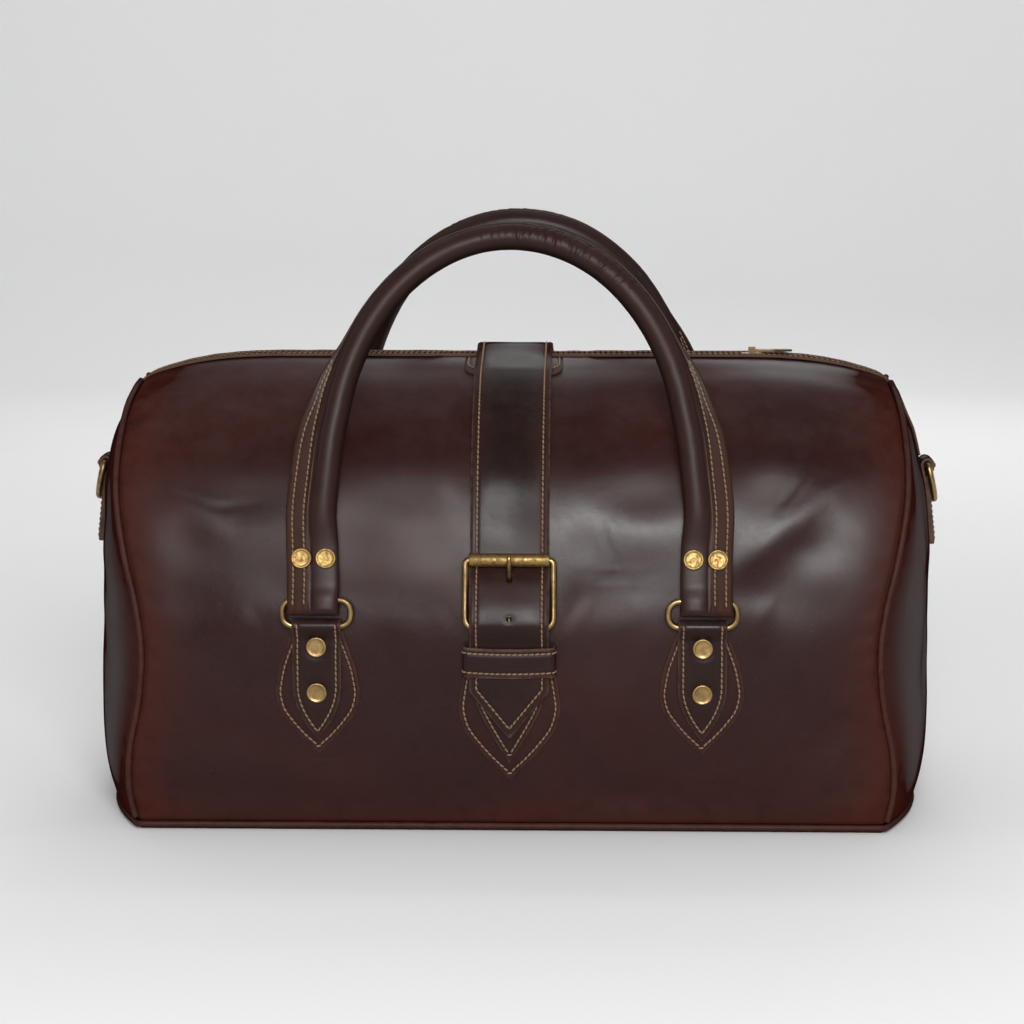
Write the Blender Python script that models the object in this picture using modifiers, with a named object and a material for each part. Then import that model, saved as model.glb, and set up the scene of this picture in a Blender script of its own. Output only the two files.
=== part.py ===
"""Leather travel bag: a closed holdall with a full-length zip, two rolled handles on oval
rings, and a belt that closes over the middle on a roller buckle.

Frame: X to the right, Y away from the viewer (the front is at -Y), Z up. The origin is at
the middle of the base's flat underside. Lengths are in metres.
"""

import math

import bmesh
import bpy
from mathutils import Matrix, Vector

MM = 0.001
# Edges sharper than this stay sharp in smooth shading
SHARP_ANGLE = math.radians(40)
# Girth steps over which the skin's normal and the seam's run are measured
NORMAL_STEP = 0.004
EDGE_STEP = 0.01

# Body
BODY_HALF_LENGTH = 250 * MM
BODY_HALF_DEPTH = 127 * MM
BODY_HEIGHT = 266 * MM
LEATHER = 1.9 * MM
SEAM_MARGIN = 2.4 * MM
GAP = 0.35 * MM
BASE_SEAM_HEIGHT = 3.4 * MM
FLAT_TOP_HALF_LENGTH = 130 * MM
END_DROP = 14 * MM
END_DROP_POWER = 2.8
END_NARROWING_SHARE = 0.05
END_BULGE = 38 * MM
END_BULGE_POWER = 2.2
PIPING_RADIUS = 1.8 * MM
# The front's section from base seam to mouth: share of the half depth, share of the height
PROFILE_SHARES = ((0.900, 0.000), (0.950, 0.140), (0.993, 0.320), (0.990, 0.480), (0.915, 0.680),
                  (0.770, 0.835), (0.520, 0.945), (0.290, 0.985), (0.094, 1.000))
# Half length of the end seam against height, both as shares
SEAM_SHARES = ((0.00, 0.864), (0.08, 0.880), (0.17, 0.876), (0.28, 0.853), (0.39, 0.844),
               (0.49, 0.856), (0.61, 0.884), (0.76, 0.907), (0.92, 0.906), (1.00, 0.896))
# Bulge of the end panel against height, both as shares
BULGE_SHARES = ((0.00, 0.64), (0.08, 0.69), (0.17, 0.78), (0.28, 0.94), (0.39, 1.00),
                (0.56, 0.80), (0.67, 0.60), (0.79, 0.40), (0.88, 0.27), (0.92, 0.17), (1.00, 0.03))
PANEL_ROWS = 13
PANEL_COLUMNS = 20
END_SIDE_COLUMNS = 4
END_TOP_GIRTH = 0.965
SEAM_PIPING_STEPS = 20
PIPING_TOP_GIRTH = 0.975
BASE_END_STEPS = 5

# Mouth
MOUTH_HALF_WIDTH = 12 * MM
MOUTH_END_HEIGHT = 207 * MM
BINDING_WIDTH = 7.2 * MM
BINDING_THICKNESS = 4.2 * MM
BINDING_RISE = 1.6 * MM
TEETH_WIDTH = 5 * MM
TEETH_THICKNESS = 2.4 * MM
TAPE_THICKNESS = 0.8 * MM
TAPE_LAP = 2 * MM
SLIT_MARGIN = 1 * MM
MOUTH_CORNER_FALL = 5 * MM
MOUTH_SHOULDER_SHARE = 0.875
MOUTH_END_STEPS = 5
MOUTH_SHOULDER_STEPS = 9
SLIDER_LENGTH = 12 * MM
SLIDER_WALL = 1.3 * MM
SLIDER_PARK = 142 * MM
PULL_LENGTH = 24 * MM
PULL_WIDTH = 6 * MM
PULL_THICKNESS = 1.2 * MM
PULL_PIN_RADIUS = 0.7 * MM

# Base
BASE_THICKNESS = 2.4 * MM
BOARD_THICKNESS = 3 * MM
BOARD_MARGIN = 14 * MM

# Rings and the tabs that hold them
RING_CENTRE = 109.5 * MM
RING_LOWER_BAR_HEIGHT = 122.5 * MM
RING_BAR_SPACING = 15 * MM
RING_HALF_WIDTH = 19.5 * MM
RING_CORNER = 5 * MM
RING_WIRE_RADIUS = 1.75 * MM
EYE_CLEARANCE = 0.35 * MM
EYE_LEATHER = 2.1 * MM
EYE_OUTER = RING_WIRE_RADIUS + EYE_CLEARANCE + EYE_LEATHER
CORNER_STEPS = 4
PATCH_THICKNESS = 1.6 * MM
CHAPE_HALF_WIDTH = 13.7 * MM
CHAPE_THICKNESS = 3.6 * MM
CHAPE_SHOULDER_HEIGHT = 78 * MM
CHAPE_TIP_HEIGHT = 60 * MM
# Rows of a pointed patch: share of its height from the top, share of its half width
PATCH_SHARES = ((0.00, 0.66), (0.08, 0.76), (0.22, 0.90), (0.36, 0.97), (0.47, 1.00), (0.62, 0.90),
                (0.74, 0.68), (0.86, 0.40), (0.95, 0.15), (1.00, 0.02))
PATCH_TOP_HEIGHT = 113 * MM
PATCH_TIP_HEIGHT = 48 * MM
PATCH_HALF_WIDTH = 24 * MM
RIVET_CAP_RADIUS = 6 * MM
RIVET_CAP_THICKNESS = 1.5 * MM
RIVET_SHANK_RADIUS = 1.8 * MM
RIVET_SIDES = 12
SCREW_MERGE = 0.00001
CHAPE_RIVET_HEIGHTS = (109 * MM, 83 * MM)
STRAP_STEPS = 4
TIP_SHARES = (0.25, 0.55, 0.80, 0.94, 1.00)
TIP_HALF_WIDTH = 0.4 * MM
STRIP_COLUMN_SHARES = (-1, 0, 1)

# Handles
HANDLE_LEAN = 0.200
HANDLE_TOP_HEIGHT = 341.5 * MM
ROLL_RADIUS = 7.6 * MM
TAB_THICKNESS = 5 * MM
TAB_HALF_WIDTH = 14.3 * MM
TAB_CENTRE = 111 * MM
HANDLE_RIVET_HEIGHT = 161 * MM
HANDLE_RIVET_SPACING = 13.8 * MM
# The roll's centre line on one side: half width and height, from the tab to the top
LEG_X_SHARES = (0.959, 0.959, 0.963, 0.971, 0.955, 0.931, 0.897)
LEG_HEIGHTS = (139 * MM, 152 * MM, 168 * MM, 186 * MM, 206 * MM, 228 * MM, 246 * MM)
LEG_STEPS = 10
# The arch above the legs is the top of an ellipse with its centre at this height
ARCH_CENTRE_HEIGHT = 218 * MM
ARCH_STEPS = 9
# Above 1, the arch's sections stand closer together where it leaves the legs
ARCH_POWER = 1.4
# Flange width beyond the roll, and how far the roll is flattened, at the same heights
FLANGE_SHARES = (1.00, 1.00, 1.00, 1.00, 1.00, 0.92, 0.70)
# Flange width over the arch: share of the way to the top, share of the full width
ARCH_FLANGE_SHARES = ((0.00, 0.70), (0.06, 0.56), (0.14, 0.32), (0.21, 0.13), (0.30, 0.07), (1.00, 0.06))
FLATTEN_SHARES = (1.00, 1.00, 0.92, 0.30, 0.05, 0.00, 0.00)
FLANGE_THICKNESS = 4 * MM
FLANGE_WIDTH = 12 * MM
TAB_ROLL_HALF = 8.3 * MM
ROLL_POINTS = 10
ROLL_OPEN = math.radians(25)
RIVET_SEAT_RISE = 0.2 * MM

# Belt and buckle
BELT_HALF_WIDTH = 22.5 * MM
BELT_THICKNESS = 3 * MM
BELT_RISE = 4.4 * MM
BELT_TIP_HEIGHT = 60 * MM
BELT_SHOULDER_HEIGHT = 86 * MM
SHIELD_HALF_WIDTH = 29 * MM
SHIELD_TOP_HEIGHT = 112 * MM
SHIELD_TIP_HEIGHT = 33 * MM
BUCKLE_CHAPE_HALF_WIDTH = 18.5 * MM
BUCKLE_CHAPE_SHOULDER = 68 * MM
BUCKLE_CHAPE_TIP = 44 * MM
HEEL_BAR_HEIGHT = 122 * MM
ROLLER_HEIGHT = 159.5 * MM
BUCKLE_HALF_WIDTH = 25 * MM
BUCKLE_WIRE_RADIUS = 1.9 * MM
BUCKLE_TOP_CORNER = 2.6 * MM
BUCKLE_HEEL_CORNER = 6 * MM
BUCKLE_STAND = 7.6 * MM
ROLLER_RADIUS = 3.5 * MM
ROLLER_HALF_LENGTH = 21.5 * MM
PRONG_RADIUS = 1.5 * MM
PRONG_EYE_RADIUS = 3.7 * MM
PRONG_SLOT = 5.2 * MM
PRONG_HOLE_HEIGHT = 148.5 * MM
PRONG_HOLE_LENGTH = 14 * MM
SLOT_MARGIN = 1.4 * MM
PRONG_SIDES = 8
# The prong's centre line: height, and distance outside the body
PRONG_LINE = ((124.5 * MM, 7.8 * MM), (129.5 * MM, 7.8 * MM), (134 * MM, 7.3 * MM),
              (139 * MM, 5.7 * MM), (144 * MM, 5.1 * MM), (149 * MM, 6.6 * MM),
              (154 * MM, 9.9 * MM), (158 * MM, 12.5 * MM), (162 * MM, 13.2 * MM),
              (166 * MM, 13.0 * MM))
# The belt's inner face: height, and distance outside the body
BELT_STANDS = ((BELT_TIP_HEIGHT, 6.4 * MM), (112.5 * MM, 6.4 * MM), (117 * MM, 9.8 * MM),
               (HEEL_BAR_HEIGHT, 12.6 * MM), (127 * MM, 12.3 * MM), (134.5 * MM, 10.6 * MM),
               (141.5 * MM, 8.4 * MM), (148.5 * MM, 5.2 * MM), (155 * MM, 1.8 * MM),
               (160 * MM, 0.6 * MM), (170 * MM, 0.5 * MM), (224 * MM, 0.6 * MM),
               (238 * MM, 2.3 * MM), (266 * MM, 2.3 * MM))
BELT_ROW_HEIGHTS = (BELT_SHOULDER_HEIGHT, 98 * MM, 112 * MM, 114.5 * MM, 117 * MM, 119.5 * MM,
                    HEEL_BAR_HEIGHT, 125 * MM, 130 * MM, 136 * MM, 142 * MM, 147.5 * MM, 152 * MM,
                    156 * MM, 162 * MM,
                    174 * MM, 185 * MM, 195 * MM, 204 * MM, 212 * MM, 219 * MM, 225 * MM, 231 * MM,
                    237 * MM, 243 * MM, 249 * MM, 254 * MM, 258.5 * MM, 262.5 * MM)
# The belt over the mouth: depth as a share of the mouth's half width, and drop from its top
BELT_CROWN = ((1.15, 1.9 * MM), (0.7, 0.4 * MM), (0, 0))
BELT_COLUMN_SHARES = (-1, 0, 1)
BELT_BACK_STAND = 0.6 * MM
BELT_BACK_HEIGHTS = (263.5 * MM, 261 * MM, 257 * MM, 252 * MM, 246 * MM, 239 * MM, 231 * MM,
                     222 * MM, 213 * MM, 204 * MM)
SPARE_HOLE_HEIGHT = 128.6 * MM
SPARE_HOLE_RADIUS = 2.4 * MM
KEEPER_HALF_WIDTH = 26.5 * MM
KEEPER_TOP_HEIGHT = 112 * MM
KEEPER_BOTTOM_HEIGHT = 95.5 * MM
KEEPER_THICKNESS = 1.6 * MM
MOUTH_PATCH_HALF_WIDTH = 29 * MM
MOUTH_PATCH_THICKNESS = 1.4 * MM
HEEL_LEATHER = 1.8 * MM
# The mouth patch's rows: girth, share of its half width
MOUTH_PATCH_SHARES = ((0.955, 1.00), (0.90, 1.00), (0.86, 0.97), (0.825, 0.85), (0.805, 0.66),
                      (0.795, 0.40))

# End tabs and their D-rings
SIDE_BAR_HEIGHT = 200 * MM
SIDE_TAB_END_HEIGHT = 153 * MM
SIDE_TAB_HALF_WIDTH = 10.5 * MM
D_RING_HALF_WIDTH = 14.5 * MM
D_RING_DROP = 22 * MM
D_RING_WIRE_RADIUS = 1.9 * MM
D_RING_BAR_HALF = 13.5 * MM
D_RING_SIDE_SHARE = 0.25
D_RING_EASE = 0.15 * MM
D_RING_STEPS = 12

CUT_OVERRUN = 4 * MM
ROUND_SIDES = 14

FINISHES = {
    "leather": ((0.058, 0.020, 0.014), 0.38, 0.0),
    "handle_leather": ((0.040, 0.013, 0.010), 0.40, 0.0),
    "belt_leather": ((0.030, 0.012, 0.010), 0.42, 0.0),
    "edge_leather": ((0.110, 0.045, 0.020), 0.60, 0.0),
    "brass": ((0.420, 0.270, 0.090), 0.35, 1.0),
    "zip_tape": ((0.015, 0.010, 0.008), 0.85, 0.0),
    "board": ((0.090, 0.070, 0.050), 0.80, 0.0),
}


def clear_scene():
    """Remove every object of the scene."""
    for item in list(bpy.data.objects):
        bpy.data.objects.remove(item, do_unlink=True)


def new_collection(name):
    """Make a collection under the scene's own."""
    collection = bpy.data.collections.new(name)
    bpy.context.scene.collection.children.link(collection)
    return collection


def finish(name):
    """Return the named material, made the first time that it is asked for."""
    material = bpy.data.materials.get(name)
    if material is None:
        colour, roughness, metallic = FINISHES[name]
        material = bpy.data.materials.new(name)
        material.use_nodes = True
        shader = material.node_tree.nodes["Principled BSDF"]
        shader.inputs["Base Color"].default_value = (*colour, 1.0)
        shader.inputs["Roughness"].default_value = roughness
        shader.inputs["Metallic"].default_value = metallic
    return material


def place(name, data, finish_name, collection):
    """Make an object of a mesh or curve, with its finish, in a collection."""
    item = bpy.data.objects.new(name, data)
    data.materials.append(finish(finish_name))
    collection.objects.link(item)
    return item


def interpolate(table, at, column=1):
    """Read a smooth curve through a table's rows at a value of their first column."""
    last = len(table) - 1
    at = min(max(at, table[0][0]), table[last][0])
    k = 0
    while k < last - 1 and at > table[k + 1][0]:
        k += 1
    a, b = table[k], table[k + 1]
    before, after = table[max(k - 1, 0)], table[min(k + 2, last)]
    span = b[0] - a[0]
    u = (at - a[0]) / span
    slope_a = (b[column] - before[column]) / (b[0] - before[0]) * span
    slope_b = (after[column] - a[column]) / (after[0] - a[0]) * span
    value = a[column] * (2 * u**3 - 3 * u**2 + 1) + slope_a * (u**3 - 2 * u**2 + u)
    return value + b[column] * (3 * u**2 - 2 * u**3) + slope_b * (u**3 - u**2)


# The body's outer surface

GIRTH_TABLE = tuple((k / (len(PROFILE_SHARES) - 1), *row) for k, row in enumerate(PROFILE_SHARES))


def end_drop(x):
    """How far the top falls at a distance along the bag."""
    seam_end = SEAM_SHARES[-1][1] * BODY_HALF_LENGTH
    run = max(abs(x) - FLAT_TOP_HALF_LENGTH, 0) / (seam_end - FLAT_TOP_HALF_LENGTH)
    return END_DROP * run**END_DROP_POWER


def seam_half_length(height_share):
    """Half the length between the two end seams at a share of the height."""
    return interpolate(SEAM_SHARES, height_share) * BODY_HALF_LENGTH


def skin(x, girth):
    """A point on the front's outer surface: girth runs from 0 at the base to 1 at the mouth."""
    depth_share = interpolate(GIRTH_TABLE, girth, 1)
    height_share = interpolate(GIRTH_TABLE, girth, 2)
    along = abs(x) / seam_half_length(height_share)
    belly = math.sin(math.pi * min(girth, 1)) * END_NARROWING_SHARE * along**2
    depth = (depth_share * (1 - belly)) * BODY_HALF_DEPTH
    rise = height_share * (BODY_HEIGHT - BASE_SEAM_HEIGHT)
    height = BASE_SEAM_HEIGHT + rise - end_drop(x) * height_share**3
    return Vector((x, -depth, height))


def skin_girth(x, height):
    """The girth at which the front's surface reaches a height."""
    low, high = 0.0, 1.0
    for _ in range(40):
        middle = (low + high) / 2
        if skin(x, middle).z < height:
            low = middle
        else:
            high = middle
    return (low + high) / 2


def skin_normal(x, girth):
    """The outward normal of the front's surface."""
    up = skin(x, min(girth + NORMAL_STEP, 1)) - skin(x, max(girth - NORMAL_STEP, 0))
    along = skin(x + MM, girth) - skin(x - MM, girth)
    return along.cross(up).normalized()


def stand_off(x, height, distance):
    """A point at a distance outside the front's surface at a height."""
    girth = skin_girth(x, height)
    return skin(x, girth) + skin_normal(x, girth) * distance


def seam_point(girth):
    """A point on the right front end seam."""
    height_share = interpolate(GIRTH_TABLE, girth, 2)
    return skin(seam_half_length(height_share), girth)


def end_x(y, girth):
    """How far out the right end panel stands at a depth, level with a point of the seam."""
    seam = seam_point(girth)
    share = interpolate(GIRTH_TABLE, girth, 2)
    bulge = interpolate(BULGE_SHARES, share) * END_BULGE
    return seam.x + bulge * (1 - min(abs(y / seam.y), 1) ** END_BULGE_POWER)


def end_ridge(height):
    """The right end panel's outermost point at a height, over the middle of the depth."""
    low, high = 0.0, 1.0
    for _ in range(40):
        middle = (low + high) / 2
        if seam_point(middle).z < height:
            low = middle
        else:
            high = middle
    return Vector((end_x(0, low), 0, height))


# Mesh tools


def mesh_from_grid(name, rows, keep=None):
    """Make a mesh of quads between rows of points; keep(i, j) drops a quad where it is false."""
    shape = bmesh.new()
    verts = [[shape.verts.new(point) for point in row] for row in rows]
    for i in range(len(rows) - 1):
        for j in range(len(rows[0]) - 1):
            if keep is None or keep(i, j):
                below, above = verts[i], verts[i + 1]
                shape.faces.new((below[j], below[j + 1], above[j + 1], above[j]))
    loose = [v for v in shape.verts if not v.link_faces]
    bmesh.ops.delete(shape, geom=loose, context="VERTS")
    mesh = bpy.data.meshes.new(name)
    shape.to_mesh(mesh)
    shape.free()
    mesh.shade_smooth()
    return mesh


def shell(name, rows, thickness, finish_name, collection, keep=None, outward=True):
    """Make a closed sheet whose outer surface is the grid and whose thickness goes inward."""
    mesh = mesh_from_grid(name, rows, keep)
    if not outward:
        mesh.flip_normals()
    item = place(name, mesh, finish_name, collection)
    solid = item.modifiers.new("Thickness", "SOLIDIFY")
    solid.thickness = thickness
    solid.offset = -1
    return item


def loft(name, sections, finish_name, collection):
    """Make a closed solid through sections of equal point counts, capped at both ends."""
    shape = bmesh.new()
    loops = [[shape.verts.new(point) for point in section] for section in sections]
    count = len(sections[0])
    for lower, upper in zip(loops, loops[1:]):
        for k in range(count):
            after = (k + 1) % count
            shape.faces.new((lower[k], lower[after], upper[after], upper[k]))
    shape.faces.new(list(reversed(loops[0])))
    shape.faces.new(loops[-1])
    bmesh.ops.recalc_face_normals(shape, faces=shape.faces)
    mesh = bpy.data.meshes.new(name)
    shape.to_mesh(mesh)
    shape.free()
    mesh.shade_smooth()
    return place(name, mesh, finish_name, collection)


def wire(name, points, radius, finish_name, collection, cyclic=False, resolution=1):
    """Make a round wire or tube along points."""
    curve = bpy.data.curves.new(name, "CURVE")
    curve.dimensions = "3D"
    curve.bevel_depth = radius
    curve.bevel_resolution = resolution
    curve.use_fill_caps = True
    spline = curve.splines.new("POLY")
    spline.points.add(len(points) - 1)
    for target, point in zip(spline.points, points):
        target.co = (*point, 1)
    spline.use_cyclic_u = cyclic
    return place(name, curve, finish_name, collection)


def cylinder_mesh(name, radius, length, sides=ROUND_SIDES):
    """Make a cylinder's mesh along Z, centred on the origin."""
    shape = bmesh.new()
    bmesh.ops.create_cone(shape, cap_ends=True, segments=sides, radius1=radius, radius2=radius,
                          depth=length)
    mesh = bpy.data.meshes.new(name)
    shape.to_mesh(mesh)
    shape.free()
    mesh.shade_smooth()
    mesh.set_sharp_from_angle(angle=SHARP_ANGLE)
    return mesh


def aim(axis, centre):
    """A matrix that turns Z to an axis and moves to a centre."""
    return Matrix.Translation(centre) @ Vector(axis).to_track_quat("Z", "Y").to_matrix().to_4x4()


def guide(item):
    """Mark an object as a cutter or guide."""
    item.hide_render = True
    item.display_type = "WIRE"
    return item


def cylinder_guide(name, radius, length, axis, centre, cutters):
    """Make a cylinder that cuts or joins another object."""
    item = place(name, cylinder_mesh(name, radius, length), "brass", cutters)
    item.matrix_world = aim(axis, centre)
    return guide(item)


def box_guide(name, size, centre, cutters, axis=(0, 0, 1)):
    """Make a box that cuts another object."""
    shape = bmesh.new()
    bmesh.ops.create_cube(shape, size=1, matrix=Matrix.Diagonal((*size, 1)))
    mesh = bpy.data.meshes.new(name)
    shape.to_mesh(mesh)
    shape.free()
    item = place(name, mesh, "brass", cutters)
    item.matrix_world = aim(axis, centre)
    return guide(item)


def combine(item, operation, other):
    """Add a Boolean modifier."""
    boolean = item.modifiers.new(f"{operation.title()} {other.name}", "BOOLEAN")
    boolean.operation = operation
    boolean.solver = "EXACT"
    boolean.object = other
    return item


def mirror_point(point, side_x=1, side_y=-1):
    """Take a point of the right front to another quarter: side_y is -1 at the front."""
    return Vector((point.x * side_x, point.y * -side_y, point.z))


# Body panels, pipings and base


def end_edge(girth):
    """The right end panel's front edge, a margin inside the seam."""
    below, above = seam_point(max(girth - EDGE_STEP, 0)), seam_point(min(girth + EDGE_STEP, 1))
    run = Vector((0, above.y - below.y, above.z - below.z)).normalized()
    return seam_point(girth) + Vector((0, run.z, -run.y)) * SEAM_MARGIN


def seam_girth(height):
    """The girth at which the end seam reaches a height."""
    low, high = 0.0, 1.0
    for _ in range(40):
        middle = (low + high) / 2
        if seam_point(middle).z < height:
            low = middle
        else:
            high = middle
    return low


def body_panel(name, side_y, parts):
    """Make the front or back panel, from the base seam to the mouth."""
    first = skin_girth(0, BASE_SEAM_HEIGHT + SEAM_MARGIN)
    rows = []
    for i in range(PANEL_ROWS + 1):
        girth = first + (1 - first) * i / PANEL_ROWS
        half = seam_half_length(interpolate(GIRTH_TABLE, girth, 2)) - SEAM_MARGIN
        columns = [half * (2 * j / PANEL_COLUMNS - 1) for j in range(PANEL_COLUMNS + 1)]
        rows.append([mirror_point(skin(x, girth), 1, side_y) for x in columns])
    return shell(name, rows, LEATHER, "leather", parts, outward=side_y < 0)


def end_panel(name, side_x, parts):
    """Make an end panel: a bulging arch, slit at the top for the mouth."""
    first = seam_girth(BASE_SEAM_HEIGHT + SEAM_MARGIN)
    rows = []
    for i in range(PANEL_ROWS + 1):
        edge = end_edge(first + (END_TOP_GIRTH - first) * i / PANEL_ROWS)
        level = seam_girth(edge.z)
        side = [edge.y + (-MOUTH_HALF_WIDTH - edge.y) * j / END_SIDE_COLUMNS
                for j in range(END_SIDE_COLUMNS + 1)]
        depths = side + [0] + [-y for y in reversed(side)]
        rows.append([Vector((side_x * end_x(y, level), y, edge.z)) for y in depths])
    slit = (END_SIDE_COLUMNS, END_SIDE_COLUMNS + 1)

    def keep(i, j):
        return j not in slit or rows[i + 1][0].z < MOUTH_END_HEIGHT + SLIT_MARGIN

    return shell(name, rows, LEATHER, "leather", parts, keep, outward=side_x > 0)


def seam_piping(name, side_x, side_y, parts):
    """Make the piping of one end seam, from the base piping to the mouth."""
    first = seam_girth(BASE_SEAM_HEIGHT + 2 * PIPING_RADIUS + GAP)
    points = []
    for i in range(SEAM_PIPING_STEPS + 1):
        girth = first + (PIPING_TOP_GIRTH - first) * i / SEAM_PIPING_STEPS
        points.append(mirror_point(seam_point(girth), side_x, side_y))
    return wire(name, points, PIPING_RADIUS, "leather", parts)


def base_outline(inset):
    """The base's outline from above: long sides, and ends that bulge with the end panels."""
    corner = seam_point(0)
    quarter = []
    for k in range(BASE_END_STEPS + 1):
        y = corner.y * (1 - k / BASE_END_STEPS)
        quarter.append(Vector((end_x(y, 0), y, 0)))
    right = quarter + [Vector((p.x, -p.y, 0)) for p in reversed(quarter[:-1])]
    loop = right + [Vector((-p.x, p.y, 0)) for p in reversed(right)]
    share_x = 1 - inset / BODY_HALF_LENGTH
    share_y = 1 - inset / abs(corner.y)
    return [Vector((p.x * share_x, p.y * share_y, 0)) for p in loop]


def flat_plate(name, outline, low, thickness, finish_name, parts):
    """Make a flat plate of an outline."""
    curve = bpy.data.curves.new(name, "CURVE")
    curve.dimensions = "2D"
    curve.fill_mode = "BOTH"
    curve.extrude = thickness / 2
    spline = curve.splines.new("POLY")
    spline.points.add(len(outline) - 1)
    for target, point in zip(spline.points, outline):
        target.co = (point.x, point.y, 0, 1)
    spline.use_cyclic_u = True
    item = place(name, curve, finish_name, parts)
    item.location.z = low + thickness / 2
    return item


def build_body(parts):
    """Make the leather body and its base."""
    body_panel("front_panel", -1, parts)
    body_panel("back_panel", 1, parts)
    for side_x, side in ((-1, "left"), (1, "right")):
        end_panel(f"{side}_end_panel", side_x, parts)
        for side_y, face in ((-1, "front"), (1, "back")):
            seam_piping(f"{side}_{face}_piping", side_x, side_y, parts)
    loop = [Vector((p.x, p.y, BASE_SEAM_HEIGHT)) for p in base_outline(0)]
    wire("base_piping", loop, PIPING_RADIUS, "leather", parts, cyclic=True)
    flat_plate("base_panel", base_outline(SEAM_MARGIN), 0, BASE_THICKNESS, "leather", parts)
    board = base_outline(BOARD_MARGIN)
    flat_plate("base_board", board, BASE_THICKNESS + GAP, BOARD_THICKNESS, "board", parts)


# Mouth: bindings and zip


def mouth_line():
    """Points and outward normals along the mouth, from the left tab over the top to the right."""
    right = []
    corner = BODY_HEIGHT - END_DROP - MOUTH_CORNER_FALL
    for k in range(MOUTH_END_STEPS + 1):
        rise = (corner - MOUTH_END_HEIGHT) * k / MOUTH_END_STEPS
        right.append(end_ridge(MOUTH_END_HEIGHT + rise))
    for k in range(MOUTH_SHOULDER_STEPS + 1):
        x = MOUTH_SHOULDER_SHARE * BODY_HALF_LENGTH
        x += (FLAT_TOP_HALF_LENGTH - x) * k / MOUTH_SHOULDER_STEPS
        right.append(Vector((x, 0, BODY_HEIGHT - end_drop(x))))
    line = [Vector((-p.x, 0, p.z)) for p in right] + list(reversed(right))
    normals = []
    for k in range(len(line)):
        run = line[min(k + 1, len(line) - 1)] - line[max(k - 1, 0)]
        normals.append(Vector((-run.z, 0, run.x)).normalized())
    return list(zip(line, normals))


def mouth_strip(name, y_low, y_high, top, thickness, finish_name, parts):
    """Make a strip along the mouth between two depths, its top at a distance from the skin."""
    rows = []
    for point, normal in mouth_line():
        at = point + normal * top
        rows.append([Vector((at.x, y, at.z)) for y in (y_high, (y_low + y_high) / 2, y_low)])
    return shell(name, rows, thickness, finish_name, parts)


def build_mouth(parts, cutters):
    """Make the bindings, the zip's tape and chain, the slider and its pull."""
    outer = MOUTH_HALF_WIDTH - GAP
    inner = outer - BINDING_WIDTH
    binding_low = BINDING_RISE - BINDING_THICKNESS
    mouth_strip("front_zip_binding", -outer, -inner, BINDING_RISE, BINDING_THICKNESS,
                "edge_leather", parts)
    mouth_strip("back_zip_binding", inner, outer, BINDING_RISE, BINDING_THICKNESS,
                "edge_leather", parts)
    tape_top = binding_low - GAP
    tape_half = MOUTH_HALF_WIDTH + TAPE_LAP
    mouth_strip("zip_tape", -tape_half, tape_half, tape_top, TAPE_THICKNESS, "zip_tape", parts)
    teeth_top = tape_top + GAP + TEETH_THICKNESS
    mouth_strip("zip_teeth", -TEETH_WIDTH / 2, TEETH_WIDTH / 2, teeth_top, TEETH_THICKNESS,
                "brass", parts)
    flange_in = TEETH_WIDTH / 2 + GAP
    flange_out = flange_in + SLIDER_WALL
    low = BODY_HEIGHT + tape_top + GAP
    under = BODY_HEIGHT + teeth_top + GAP
    top = under + SLIDER_WALL
    outline = ((-flange_out, low), (-flange_out, top), (flange_out, top), (flange_out, low),
               (flange_in, low), (flange_in, under), (-flange_in, under), (-flange_in, low))
    ends = (SLIDER_PARK - SLIDER_LENGTH / 2, SLIDER_PARK + SLIDER_LENGTH / 2)
    sections = [[Vector((x, y, z)) for y, z in outline] for x in ends]
    slider = loft("zip_slider", sections, "brass", parts)
    pin_height = top + GAP + PULL_THICKNESS
    lug_half = PULL_WIDTH / 6
    lug_height = pin_height - top + PULL_PIN_RADIUS * 2 + SLIDER_WALL
    lug_size = (PULL_PIN_RADIUS * 6, 2 * lug_half, lug_height)
    lug_centre = (SLIDER_PARK, 0, top - SLIDER_WALL / 2 + lug_height / 2)
    lug = box_guide("slider_lug", lug_size, lug_centre, cutters)
    combine(slider, "UNION", lug)
    pin_centre = (SLIDER_PARK, 0, pin_height)
    across = (0, 1, 0)
    hole = cylinder_guide("slider_lug_hole", PULL_PIN_RADIUS + GAP, PULL_WIDTH, across, pin_centre,
                          cutters)
    combine(slider, "DIFFERENCE", hole)
    half = PULL_WIDTH / 2
    back = PULL_PIN_RADIUS * 2
    shape = ((-back, -half), (PULL_LENGTH - half, -half), (PULL_LENGTH, -half / 2),
             (PULL_LENGTH, half / 2), (PULL_LENGTH - half, half), (-back, half))
    heights = (pin_height - PULL_THICKNESS / 2, pin_height + PULL_THICKNESS / 2)
    sections = [[Vector((SLIDER_PARK + x, y, z)) for x, y in shape] for z in heights]
    pull = loft("zip_pull", sections, "brass", parts)
    slot_length = lug_size[0] + 2 * back
    slot_size = (slot_length + 2 * GAP, 2 * (lug_half + GAP), PULL_WIDTH)
    slot = box_guide("pull_slot", slot_size, pin_centre, cutters)
    combine(pull, "DIFFERENCE", slot)
    pin = cylinder_guide("pull_pin", PULL_PIN_RADIUS, PULL_WIDTH - GAP, across, pin_centre, cutters)
    combine(pull, "UNION", pin)


# Draped leather and metal fittings


def draped_strip(name, centre_x, rows, side, finish_name, parts, thickness):
    """Make a leather strip on the front or back: rows are height, half width and stand-off."""
    side_x, side_y = side
    grid = []
    for height, half, stand in rows:
        columns = [centre_x + half * share for share in STRIP_COLUMN_SHARES]
        points = [stand_off(x, height, stand + thickness) for x in columns]
        grid.append([mirror_point(p, side_x, side_y) for p in points])
    outward = side_x * side_y > 0
    return shell(name, grid, thickness, finish_name, parts, outward=outward)


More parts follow.
